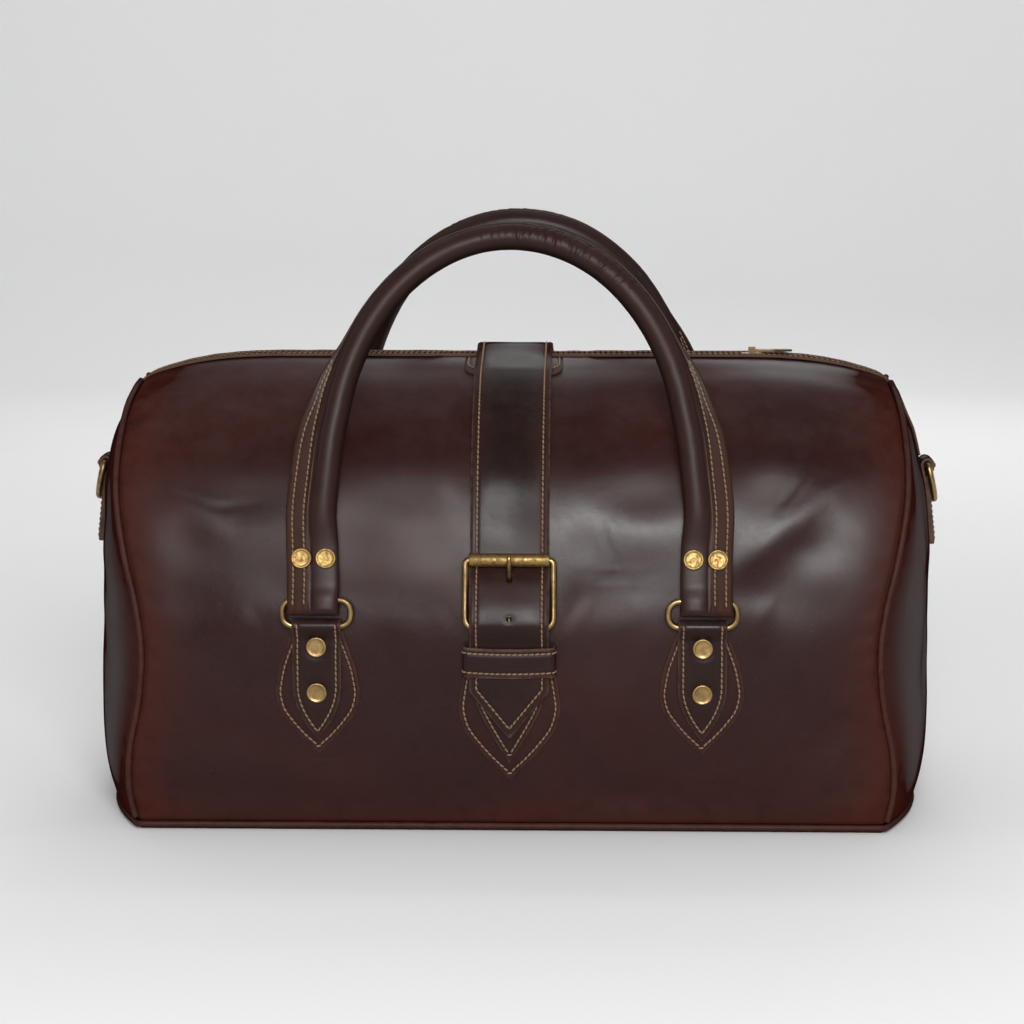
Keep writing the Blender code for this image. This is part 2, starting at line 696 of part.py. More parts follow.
def pointed_patch(name, centre_x, top, tip, half_width, side, parts):
    """Make the pointed patch under a tab or buckle."""
    rows = []
    for height_share, width_share in PATCH_SHARES:
        rows.append((top + (tip - top) * height_share, half_width * width_share, GAP))
    return draped_strip(name, centre_x, rows, side, "leather", parts, PATCH_THICKNESS)


def pointed_rows(top, shoulder, tip, half_width, stand):
    """Rows of a strap that runs straight down and ends in a point."""
    rows = [(top + (shoulder - top) * k / STRAP_STEPS, half_width, stand)
            for k in range(STRAP_STEPS + 1)]
    for share in TIP_SHARES:
        rows.append((shoulder + (tip - shoulder) * share, half_width * (1 - share) + TIP_HALF_WIDTH,
                     stand))
    return rows


def rounded_frame(low, high, half_width, corner_low, corner_high):
    """Points of a closed wire: two bars along X, joined by rounded corners."""
    up = (high - low).normalized()
    span = (high - low).length
    points = []
    quarter = math.pi / 2
    corners = ((1, 0, corner_low, -quarter), (1, span, corner_high, 0),
               (-1, span, corner_high, quarter), (-1, 0, corner_low, 2 * quarter))
    for side_x, bar, radius, start in corners:
        centre_x = side_x * (half_width - radius)
        centre_up = radius if bar == 0 else bar - radius
        for k in range(CORNER_STEPS + 1):
            angle = start + quarter * k / CORNER_STEPS
            x = centre_x + radius * math.cos(angle)
            rise = centre_up + radius * math.sin(angle)
            points.append(Vector((low.x + x, 0, 0)) + Vector((0, low.y, low.z)) + up * rise)
    return points


def turned(name, profile, finish_name, parts):
    """Turn a profile, given from top to bottom as radius and height, about Z."""
    mesh = bpy.data.meshes.new(name)
    verts = [(radius, 0, height) for radius, height in profile]
    mesh.from_pydata(verts, [(k, k + 1) for k in range(len(verts) - 1)], [])
    item = place(name, mesh, finish_name, parts)
    screw = item.modifiers.new("Turn", "SCREW")
    screw.steps = RIVET_SIDES
    screw.render_steps = RIVET_SIDES
    screw.use_merge_vertices = True
    screw.merge_threshold = SCREW_MERGE
    screw.use_smooth_shade = True
    return item


def rivet(name, seat, normal, shank_length, parts):
    """Make a rivet: a low domed cap on a surface, and a shank into it."""
    cap, rise = RIVET_CAP_RADIUS, RIVET_CAP_THICKNESS
    profile = ((0, rise), (0.55 * cap, 0.90 * rise), (0.88 * cap, 0.60 * rise), (cap, 0.15 * rise),
               (cap, 0), (RIVET_SHANK_RADIUS, 0), (RIVET_SHANK_RADIUS, -shank_length),
               (0, -shank_length))
    item = turned(name, profile, "brass", parts)
    item.matrix_world = aim(normal, seat + normal * GAP)
    return item


def ring_bars(side_x):
    """Centres of a right front ring's lower and upper bars."""
    stand = GAP + PATCH_THICKNESS + GAP + EYE_OUTER
    low = stand_off(RING_CENTRE, RING_LOWER_BAR_HEIGHT, stand)
    low.x = RING_CENTRE * side_x
    return low, low + Vector((0, 0, RING_BAR_SPACING))


def build_ring_mount(side_x, side_y, label, parts, cutters):
    """Make one ring with its patch, its chape and the chape's two rivets."""
    low, high = (mirror_point(p, 1, side_y) for p in ring_bars(side_x))
    side = (side_x, side_y)
    pointed_patch(f"{label}_patch", RING_CENTRE, PATCH_TOP_HEIGHT, PATCH_TIP_HEIGHT,
                  PATCH_HALF_WIDTH, side, parts)
    stand = GAP + PATCH_THICKNESS + GAP
    top = RING_LOWER_BAR_HEIGHT - RING_WIRE_RADIUS
    rows = pointed_rows(top, CHAPE_SHOULDER_HEIGHT, CHAPE_TIP_HEIGHT, CHAPE_HALF_WIDTH, stand)
    chape = draped_strip(f"{label}_chape", RING_CENTRE, rows, side, "leather", parts,
                         CHAPE_THICKNESS)
    across = (1, 0, 0)
    eye = cylinder_guide(f"{label}_chape_eye", EYE_OUTER, 2 * CHAPE_HALF_WIDTH, across, low, cutters)
    bore = cylinder_guide(f"{label}_chape_bore", RING_WIRE_RADIUS + EYE_CLEARANCE,
                          2 * CHAPE_HALF_WIDTH + CUT_OVERRUN, across, low, cutters)
    combine(chape, "UNION", eye)
    combine(chape, "DIFFERENCE", bore)
    for place_name, height in zip(("upper", "lower"), CHAPE_RIVET_HEIGHTS):
        girth = skin_girth(RING_CENTRE, height)
        normal = mirror_point(skin_normal(RING_CENTRE, girth), side_x, side_y)
        seat = mirror_point(stand_off(RING_CENTRE, height, stand + CHAPE_THICKNESS), side_x, side_y)
        hole = cylinder_guide(f"{label}_{place_name}_hole", RIVET_SHANK_RADIUS + GAP,
                              2 * CHAPE_THICKNESS + CUT_OVERRUN, normal, seat, cutters)
        combine(chape, "DIFFERENCE", hole)
        rivet(f"{label}_{place_name}_rivet", seat, normal, CHAPE_THICKNESS, parts)
    points = rounded_frame(low, high, RING_HALF_WIDTH, RING_CORNER, RING_CORNER)
    wire(f"{label}_ring", points, RING_WIRE_RADIUS, "brass", parts, cyclic=True)


# Handles


def handle_line(bar):
    """The roll's right half from tab to top: centre, flange share and flattened share."""
    up = Vector((0, HANDLE_LEAN, 1))
    table = tuple(zip(LEG_HEIGHTS, LEG_X_SHARES, FLANGE_SHARES, FLATTEN_SHARES))
    line = []
    for k in range(LEG_STEPS + 1):
        height = LEG_HEIGHTS[0] + (LEG_HEIGHTS[-1] - LEG_HEIGHTS[0]) * k / LEG_STEPS
        x = interpolate(table, height, 1) * RING_CENTRE
        centre = Vector((x, bar.y, bar.z)) + up * (height - bar.z)
        line.append((centre, interpolate(table, height, 2), interpolate(table, height, 3)))
    rise = HANDLE_TOP_HEIGHT - ARCH_CENTRE_HEIGHT
    start = math.asin((LEG_HEIGHTS[-1] - ARCH_CENTRE_HEIGHT) / rise)
    half_span = LEG_X_SHARES[-1] * RING_CENTRE / math.cos(start)
    for k in range(1, ARCH_STEPS + 1):
        share = (k / ARCH_STEPS) ** ARCH_POWER
        angle = start + (math.pi / 2 - start) * share
        height = ARCH_CENTRE_HEIGHT + rise * math.sin(angle)
        centre = Vector((half_span * math.cos(angle), bar.y, bar.z)) + up * (height - bar.z)
        line.append((centre, interpolate(ARCH_FLANGE_SHARES, share), 0))
    return line


def handle_section(centre, outward, across, flange, flatten):
    """The handle's section: a roll that flattens to a tab, with a flange on its outer side."""
    roll_n = ROLL_RADIUS + (TAB_ROLL_HALF - ROLL_RADIUS) * flatten
    roll_b = ROLL_RADIUS + (TAB_THICKNESS / 2 - ROLL_RADIUS) * flatten
    edge = roll_n + FLANGE_WIDTH * flange
    half = min(FLANGE_THICKNESS / 2 + (TAB_THICKNESS - FLANGE_THICKNESS) / 2 * flatten, roll_b)
    offsets = []
    for k in range(ROLL_POINTS):
        angle = ROLL_OPEN + (2 * math.pi - 2 * ROLL_OPEN) * k / (ROLL_POINTS - 1)
        offsets.append((roll_n * math.cos(angle), roll_b * math.sin(angle)))
    offsets += [(edge, -half), (edge, half)]
    return [centre + outward * n + across * b for n, b in offsets]


def build_handle(face, side_y, parts, cutters):
    """Make one handle, its tabs round the rings, and their rivets."""
    bar = ring_bars(1)[1]
    right = handle_line(bar)
    line = [(Vector((-c.x, c.y, c.z)), f, t) for c, f, t in right] + list(reversed(right[:-1]))
    across = Vector((0, -1, HANDLE_LEAN)).normalized()
    sections = []
    for k, (centre, flange, flatten) in enumerate(line):
        run = (line[min(k + 1, len(line) - 1)][0] - line[max(k - 1, 0)][0]).normalized()
        outward = run.cross(across).normalized()
        if outward.dot(Vector((centre.x, 0, centre.z - LEG_HEIGHTS[-1] / 2))) < 0:
            outward = -outward
        section = handle_section(centre, outward, across, flange, flatten)
        sections.append([mirror_point(p, 1, side_y) for p in section])
    handle = loft(f"{face}_handle", sections, "handle_leather", parts)
    axis = (1, 0, 0)
    up = Vector((0, HANDLE_LEAN, 1))
    for side_x, side in ((-1, "left"), (1, "right")):
        centre = mirror_point(Vector((TAB_CENTRE, bar.y, bar.z)), side_x, side_y)
        eye = cylinder_guide(f"{face}_{side}_tab_eye", EYE_OUTER, 2 * TAB_HALF_WIDTH, axis, centre,
                             cutters)
        bore = cylinder_guide(f"{face}_{side}_tab_bore", RING_WIRE_RADIUS + EYE_CLEARANCE,
                              2 * TAB_HALF_WIDTH + CUT_OVERRUN, axis, centre, cutters)
        combine(handle, "UNION", eye)
        combine(handle, "DIFFERENCE", bore)
        for offset, place_name in ((-0.5, "inner"), (0.5, "outer")):
            x = TAB_CENTRE + offset * HANDLE_RIVET_SPACING
            on_line = Vector((x, bar.y, bar.z)) + up * (HANDLE_RIVET_HEIGHT - bar.z)
            seat = on_line + across * (TAB_THICKNESS / 2 + RIVET_SEAT_RISE)
            normal = mirror_point(across, side_x, side_y)
            seat = mirror_point(seat, side_x, side_y)
            hole = cylinder_guide(f"{face}_{side}_{place_name}_tab_hole", RIVET_SHANK_RADIUS + GAP,
                                  2 * TAB_THICKNESS + CUT_OVERRUN, normal, seat, cutters)
            combine(handle, "DIFFERENCE", hole)
            rivet(f"{face}_{side}_handle_{place_name}_rivet", seat, normal, TAB_THICKNESS, parts)


# Belt and buckle


def belt_stand(height):
    """How far the belt's inner face stands off the body at a height on the front."""
    return interpolate(BELT_STANDS, height)


def build_belt(parts, cutters):
    """Make the belt, the patches under it, and its keeper."""
    front = (1, -1)
    pointed_patch("belt_shield_patch", 0, SHIELD_TOP_HEIGHT, SHIELD_TIP_HEIGHT, SHIELD_HALF_WIDTH,
                  front, parts)
    rows = []
    for girth, width_share in MOUTH_PATCH_SHARES:
        height = skin(0, girth).z
        rows.append((height, MOUTH_PATCH_HALF_WIDTH * width_share, GAP))
    draped_strip("belt_mouth_patch", 0, rows, front, "leather", parts, MOUTH_PATCH_THICKNESS)
    centre = []
    for share in TIP_SHARES[::-1]:
        height = BELT_SHOULDER_HEIGHT + (BELT_TIP_HEIGHT - BELT_SHOULDER_HEIGHT) * share
        centre.append((height, BELT_HALF_WIDTH * (1 - share) + TIP_HALF_WIDTH))
    for height in BELT_ROW_HEIGHTS:
        centre.append((height, BELT_HALF_WIDTH))
    outer = [(stand_off(0, height, belt_stand(height) + BELT_THICKNESS), half)
             for height, half in centre]
    top = BODY_HEIGHT + BELT_RISE + BELT_THICKNESS
    for share, drop in BELT_CROWN:
        outer.append((Vector((0, -MOUTH_HALF_WIDTH * share, top - drop)), BELT_HALF_WIDTH))
    back = [(stand_off(0, height, BELT_BACK_STAND + BELT_THICKNESS), BELT_HALF_WIDTH)
            for height in BELT_BACK_HEIGHTS]
    crown_back = [(Vector((0, MOUTH_HALF_WIDTH * share, top - drop)), BELT_HALF_WIDTH)
                  for share, drop in reversed(BELT_CROWN) if share > 0]
    outer += crown_back + [(mirror_point(p, 1, 1), half) for p, half in back]
    grid = [[Vector((half * s, p.y, p.z)) for s in BELT_COLUMN_SHARES] for p, half in outer]
    belt = shell("belt_strap", grid, BELT_THICKNESS, "belt_leather", parts)
    girth = skin_girth(0, PRONG_HOLE_HEIGHT)
    normal = skin_normal(0, girth)
    hole_centre = stand_off(0, PRONG_HOLE_HEIGHT, BUCKLE_STAND)
    hole_size = (PRONG_RADIUS * 2 + SLOT_MARGIN, PRONG_HOLE_LENGTH, 2 * BUCKLE_STAND)
    slot = box_guide("prong_hole", hole_size, hole_centre, cutters, axis=normal)
    combine(belt, "DIFFERENCE", slot)
    spare_centre = stand_off(0, SPARE_HOLE_HEIGHT, belt_stand(SPARE_HOLE_HEIGHT))
    spare = cylinder_guide("spare_hole", SPARE_HOLE_RADIUS, 2 * CUT_OVERRUN, (0, -1, 0),
                           spare_centre + Vector((0, -BELT_THICKNESS / 2, 0)), cutters)
    combine(belt, "DIFFERENCE", spare)
    foot = GAP + PATCH_THICKNESS + GAP
    crown = belt_stand(KEEPER_BOTTOM_HEIGHT) + BELT_THICKNESS + 2 * GAP + KEEPER_THICKNESS
    w, t = KEEPER_HALF_WIDTH, KEEPER_THICKNESS
    outline = ((-w, foot), (-w, crown - t), (-w + t, crown), (w - t, crown), (w, crown - t),
               (w, foot), (w - t, foot), (w - t, crown - t), (-w + t, crown - t), (-w + t, foot))
    sections = []
    for share in (0, 0.5, 1):
        height = KEEPER_BOTTOM_HEIGHT + (KEEPER_TOP_HEIGHT - KEEPER_BOTTOM_HEIGHT) * share
        at, out = skin(0, skin_girth(0, height)), skin_normal(0, skin_girth(0, height))
        sections.append([Vector((x, at.y + out.y * d, at.z + out.z * d)) for x, d in outline])
    loft("belt_keeper", sections, "belt_leather", parts)


def build_buckle(parts, cutters):
    """Make the buckle's chape, frame, roller and prong."""
    stand = GAP + PATCH_THICKNESS + GAP
    heel = stand_off(0, HEEL_BAR_HEIGHT, BUCKLE_STAND)
    high = stand_off(0, ROLLER_HEIGHT, BUCKLE_STAND)
    rows = pointed_rows(HEEL_BAR_HEIGHT, BUCKLE_CHAPE_SHOULDER, BUCKLE_CHAPE_TIP,
                        BUCKLE_CHAPE_HALF_WIDTH, stand)
    chape = draped_strip("buckle_chape", 0, rows, (1, -1), "belt_leather", parts, CHAPE_THICKNESS)
    across = (1, 0, 0)
    bore_radius = BUCKLE_WIRE_RADIUS + GAP
    eye = cylinder_guide("buckle_chape_eye", bore_radius + HEEL_LEATHER,
                         2 * BUCKLE_CHAPE_HALF_WIDTH, across, heel, cutters)
    bore = cylinder_guide("buckle_chape_bore", bore_radius,
                          2 * BUCKLE_CHAPE_HALF_WIDTH + CUT_OVERRUN, across, heel, cutters)
    slot_size = (PRONG_SLOT, 3 * PRONG_EYE_RADIUS, 4 * PRONG_EYE_RADIUS)
    slot_centre = heel + Vector((0, 0, PRONG_EYE_RADIUS / 4))
    slot = box_guide("prong_slot", slot_size, slot_centre, cutters, axis=(0, -1, 0))
    combine(chape, "UNION", eye)
    combine(chape, "DIFFERENCE", bore)
    combine(chape, "DIFFERENCE", slot)
    points = rounded_frame(heel, high, BUCKLE_HALF_WIDTH, BUCKLE_HEEL_CORNER, BUCKLE_TOP_CORNER)
    wire("buckle_frame", points, BUCKLE_WIRE_RADIUS, "brass", parts, cyclic=True)
    roller = place("buckle_roller", cylinder_mesh("buckle_roller", ROLLER_RADIUS,
                                                  2 * ROLLER_HALF_LENGTH), "brass", parts)
    roller.matrix_world = aim(across, high)
    roller_bore = cylinder_guide("roller_bore", bore_radius, 2 * ROLLER_HALF_LENGTH + CUT_OVERRUN,
                                 across, high, cutters)
    combine(roller, "DIFFERENCE", roller_bore)
    line = [stand_off(0, height, distance) for height, distance in PRONG_LINE]
    sections = []
    for k, centre in enumerate(line):
        run = (line[min(k + 1, len(line) - 1)] - line[max(k - 1, 0)]).normalized()
        out = run.cross(Vector((1, 0, 0))).normalized()
        side = Vector((1, 0, 0))
        ring = [2 * math.pi * n / PRONG_SIDES for n in range(PRONG_SIDES)]
        sections.append([centre + (side * math.cos(a) + out * math.sin(a)) * PRONG_RADIUS
                         for a in ring])
    prong = loft("buckle_prong", sections, "brass", parts)
    eye = cylinder_guide("prong_eye", PRONG_EYE_RADIUS, PRONG_SLOT - 2 * GAP, across, heel, cutters)
    bore = cylinder_guide("prong_bore", bore_radius, PRONG_SLOT + CUT_OVERRUN, across, heel,
                          cutters)
    combine(prong, "UNION", eye)
    combine(prong, "DIFFERENCE", bore)


# End tabs


def build_end_tab(side_x, side, parts, cutters):
    """Make one end's tab and the D-ring that hangs from it."""
    outer = D_RING_WIRE_RADIUS + EYE_CLEARANCE + EYE_LEATHER
    grid = []
    for k in range(STRAP_STEPS + 1):
        height = SIDE_BAR_HEIGHT + (SIDE_TAB_END_HEIGHT - SIDE_BAR_HEIGHT) * k / STRAP_STEPS
        point, normal = ridge_frame(height)
        at = point + normal * (GAP + CHAPE_THICKNESS)
        half = SIDE_TAB_HALF_WIDTH
        grid.append([Vector((at.x * side_x, y, at.z)) for y in (-half, 0, half)])
    tab = shell(f"{side}_ring_tab", grid, CHAPE_THICKNESS, "leather", parts, outward=side_x < 0)
    point, normal = ridge_frame(SIDE_BAR_HEIGHT)
    bar = point + normal * (GAP + outer)
    down = (ridge_frame(SIDE_BAR_HEIGHT - D_RING_DROP)[0] - point).normalized()
    lean = normal * (GAP + CHAPE_THICKNESS + GAP + D_RING_WIRE_RADIUS + D_RING_EASE - GAP - outer)
    points = [bar + Vector((0, y, 0)) for y in (-D_RING_BAR_HALF, D_RING_BAR_HALF)]
    for k in range(D_RING_STEPS + 1):
        angle = math.pi * k / D_RING_STEPS
        share = D_RING_SIDE_SHARE + (1 - D_RING_SIDE_SHARE) * math.sin(angle)
        width = D_RING_HALF_WIDTH * math.cos(angle)
        points.append(bar + Vector((0, width, 0)) + (down * D_RING_DROP + lean) * share)
    points = [Vector((p.x * side_x, p.y, p.z)) for p in points]
    wire(f"{side}_d_ring", points, D_RING_WIRE_RADIUS, "brass", parts, cyclic=True)
    centre = Vector((bar.x * side_x, 0, bar.z))
    across = (0, 1, 0)
    eye = cylinder_guide(f"{side}_tab_eye", outer, 2 * SIDE_TAB_HALF_WIDTH, across, centre, cutters)
    bore = cylinder_guide(f"{side}_tab_bore", D_RING_WIRE_RADIUS + EYE_CLEARANCE,
                          2 * SIDE_TAB_HALF_WIDTH + CUT_OVERRUN, across, centre, cutters)
    combine(tab, "UNION", eye)
    combine(tab, "DIFFERENCE", bore)


def ridge_frame(height):
    """The right end's ridge point at a height, and its outward normal."""
    below, above = end_ridge(height - MM), end_ridge(height + MM)
    run = (above - below).normalized()
    return end_ridge(height), Vector((run.z, 0, -run.x))


def main():
    """Build the bag."""
    clear_scene()
    parts = new_collection("leather_travel_bag")
    cutters = new_collection("cutters")
    build_body(parts)
    build_mouth(parts, cutters)
    for side_y, face in ((-1, "front"), (1, "back")):
        for side_x, side in ((-1, "left"), (1, "right")):
            build_ring_mount(side_x, side_y, f"{face}_{side}", parts, cutters)
        build_handle(face, side_y, parts, cutters)
    build_belt(parts, cutters)
    build_buckle(parts, cutters)
    for side_x, side in ((-1, "left"), (1, "right")):
        build_end_tab(side_x, side, parts, cutters)


main()
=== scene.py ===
"""The looks of a leather travel bag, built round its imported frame.

Lengths are in metres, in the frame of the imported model: X to the right, the front at -Y, Z up.
Each sub-assembly is a class that holds its sizes, builds its meshes and dresses them.
"""

from __future__ import annotations

import logging
import math
from dataclasses import dataclass
from enum import Enum
from functools import cached_property
from typing import Callable, Sequence

import bmesh
import bpy
import numpy as np
from mathutils import Matrix, Vector

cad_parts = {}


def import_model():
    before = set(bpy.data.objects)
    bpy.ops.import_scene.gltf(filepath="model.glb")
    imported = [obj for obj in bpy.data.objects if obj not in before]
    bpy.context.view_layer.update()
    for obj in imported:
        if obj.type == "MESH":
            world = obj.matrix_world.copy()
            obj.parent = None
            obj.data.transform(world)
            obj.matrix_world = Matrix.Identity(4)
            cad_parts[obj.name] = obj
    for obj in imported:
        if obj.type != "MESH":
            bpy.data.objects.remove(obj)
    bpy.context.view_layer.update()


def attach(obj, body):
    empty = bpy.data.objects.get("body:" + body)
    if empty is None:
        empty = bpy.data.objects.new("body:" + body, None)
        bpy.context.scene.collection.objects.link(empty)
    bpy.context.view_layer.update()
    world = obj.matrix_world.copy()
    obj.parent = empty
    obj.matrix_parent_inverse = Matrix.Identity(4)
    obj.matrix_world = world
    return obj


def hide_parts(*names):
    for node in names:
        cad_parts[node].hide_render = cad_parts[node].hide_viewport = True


log = logging.getLogger("travel_bag")
MM = 0.001
GAP = 0.35 * MM
Array = np.ndarray
Table = Sequence[Sequence[float]]
Colour = tuple[float, float, float]
Object = bpy.types.Object
Material = bpy.types.Material
Tree = bpy.types.NodeTree
Socket = bpy.types.NodeSocket
Feed = Socket | float | Colour


class Half(Enum):
    """One of the bag's two halves along an axis, as the sign of that axis."""

    @property
    def word(self) -> str:
        """The half's name as the nodes spell it."""
        return self.name.lower()


class Side(Half):
    """The bag's left or right half, as the sign of X."""

    LEFT = -1
    RIGHT = 1


class Face(Half):
    """The bag's front or back half, as the sign of Y."""

    FRONT = -1
    BACK = 1


# Curves and noise


def bell(at: Array | float, width: float) -> Array:
    """Return 1 at nought, falling away on both sides over a width."""
    return np.exp(-(at / width)**2)


def curve(table: Table, at: Array | float, column: int = 1) -> Array:
    """Read a smooth curve through a table's rows.

    Args:
        table: Rows in rising order of their first column.
        at: Values of the first column.
        column: The column to read.

    Returns:
        The curve's values there, held at the table's ends.
    """
    rows = np.asarray(table, dtype=float)
    xs, ys = rows[:, 0], rows[:, column]
    last = len(xs) - 1
    at = np.clip(np.asarray(at, dtype=float), xs[0], xs[-1])
    k = np.clip(np.searchsorted(xs, at, side="left") - 1, 0, last - 1)
    before, after = np.maximum(k - 1, 0), np.minimum(k + 2, last)
    span = xs[k + 1] - xs[k]
    u = (at - xs[k]) / span
    slope_a = (ys[k + 1] - ys[before]) / (xs[k + 1] - xs[before]) * span
    slope_b = (ys[after] - ys[k]) / (xs[after] - xs[k]) * span
    near = ys[k] * (2 * u**3 - 3 * u**2 + 1) + slope_a * (u**3 - 2 * u**2 + u)
    return near + ys[k + 1] * (3 * u**2 - 2 * u**3) + slope_b * (u**3 - u**2)


def smooth_step(low: float, high: float, at: Array) -> Array:
    """Return 0 below low, 1 above high, and a smooth rise between."""
    u = np.clip((at - low) / (high - low), 0, 1)
    return u * u * (3 - 2 * u)


def ripple(a: Array, b: Array, wavelength: float, seed: int, waves: int = 14) -> Array:
    """Smooth seeded noise over two coordinates, about -1 to 1.

    Args:
        a: The first coordinate.
        b: The second coordinate.
        wavelength: The middle length of its waves.
        seed: The seed of its directions and phases.
        waves: How many waves are summed.

    Returns:
        The noise at each point.
    """
    rng = np.random.default_rng(seed)
    total = np.zeros(np.broadcast(a, b).shape)
    for _ in range(waves):
        angle, phase = rng.uniform(0, 2 * math.pi, 2)
        number = 2 * math.pi / (wavelength * rng.uniform(0.7, 1.5))
        total += np.sin(number * (a * math.cos(angle) + b * math.sin(angle)) + phase)
    return total / math.sqrt(waves * 2)


def line_distance(a: Array, b: Array, points: Table) -> tuple[Array, Array]:
    """Measure how far points are from a polyline in their plane.

    Args:
        a: The points' first coordinates.
        b: Their second coordinates.
        points: The polyline's points.

    Returns:
        The distances, and the share of the line where each is nearest.
    """
    best = np.full(np.broadcast(a, b).shape, np.inf)
    share = np.zeros(best.shape)
    count = len(points) - 1
    for k in range(count):
        start, end = np.asarray(points[k], float), np.asarray(points[k + 1], float)
        run = end - start
        u = ((a - start[0]) * run[0] + (b - start[1]) * run[1]) / max(run @ run, 1e-12)
        u = np.clip(u, 0, 1)
        away = np.hypot(a - start[0] - u * run[0], b - start[1] - u * run[1])
        nearer = away < best
        best = np.where(nearer, away, best)
        share = np.where(nearer, (k + u) / count, share)
    return best, share


def unit(vectors: Array) -> Array:
    """Scale vectors to length one."""
    return vectors / np.maximum(np.linalg.norm(vectors, axis=-1, keepdims=True), 1e-12)


def between(at: Array | float, along: Array, rows: Array) -> Array:
    """Read rows of numbers between their places along a line."""
    return np.stack([np.interp(at, along, column) for column in rows.T], axis=-1)


def lengths(points: Array) -> Array:
    """Distances along a polyline, from 0 at its start."""
    return np.concatenate([[0], np.cumsum(np.linalg.norm(np.diff(points, axis=0), axis=1))])


def resample(points: Array, pitch: float) -> Array:
    """Space points evenly along a polyline.

    Args:
        points: The polyline's points.
        pitch: About how far apart the new ones are.

    Returns:
        The new points.
    """
    along = lengths(points)
    count = max(int(round(along[-1] / pitch)), 1)
    return between(np.linspace(0, along[-1], count + 1), along, points)


def relax(points: Array, times: int, closed: bool = False) -> Array:
    """Smooth a polyline, an open one between its ends.

    Args:
        points: Its points.
        times: How often they are smoothed.
        closed: Whether it is a loop.

    Returns:
        The smoothed points.
    """
    for _ in range(times):
        soft = (np.roll(points, 1, axis=0) + 2 * points + np.roll(points, -1, axis=0)) / 4
        if not closed:
            soft[[0, -1]] = points[[0, -1]]
        points = soft
    return points


def spread(count: int, reach: float = 0.8) -> Array:
    """Places from -1 to 1, closer together towards the ends the nearer the reach is to 1."""
    turn = math.pi / 2 * reach
    return np.sin(np.linspace(-1, 1, count) * turn) / math.sin(turn)


def circle(count: int) -> Array:
    """Angles evenly spaced round a circle."""
    return np.linspace(0, 2 * math.pi, count, endpoint=False)


def column(rows: Array, count: int) -> Array:
    """Repeat a column of numbers over a number of columns."""
    return rows[:, None] * np.ones((1, count))


def quarter(points: Array, side: Side, face: Face) -> Array:
    """Take points of the right front to another quarter of the bag."""
    return np.asarray(points) * (side.value, -face.value, 1)


# The body's surface


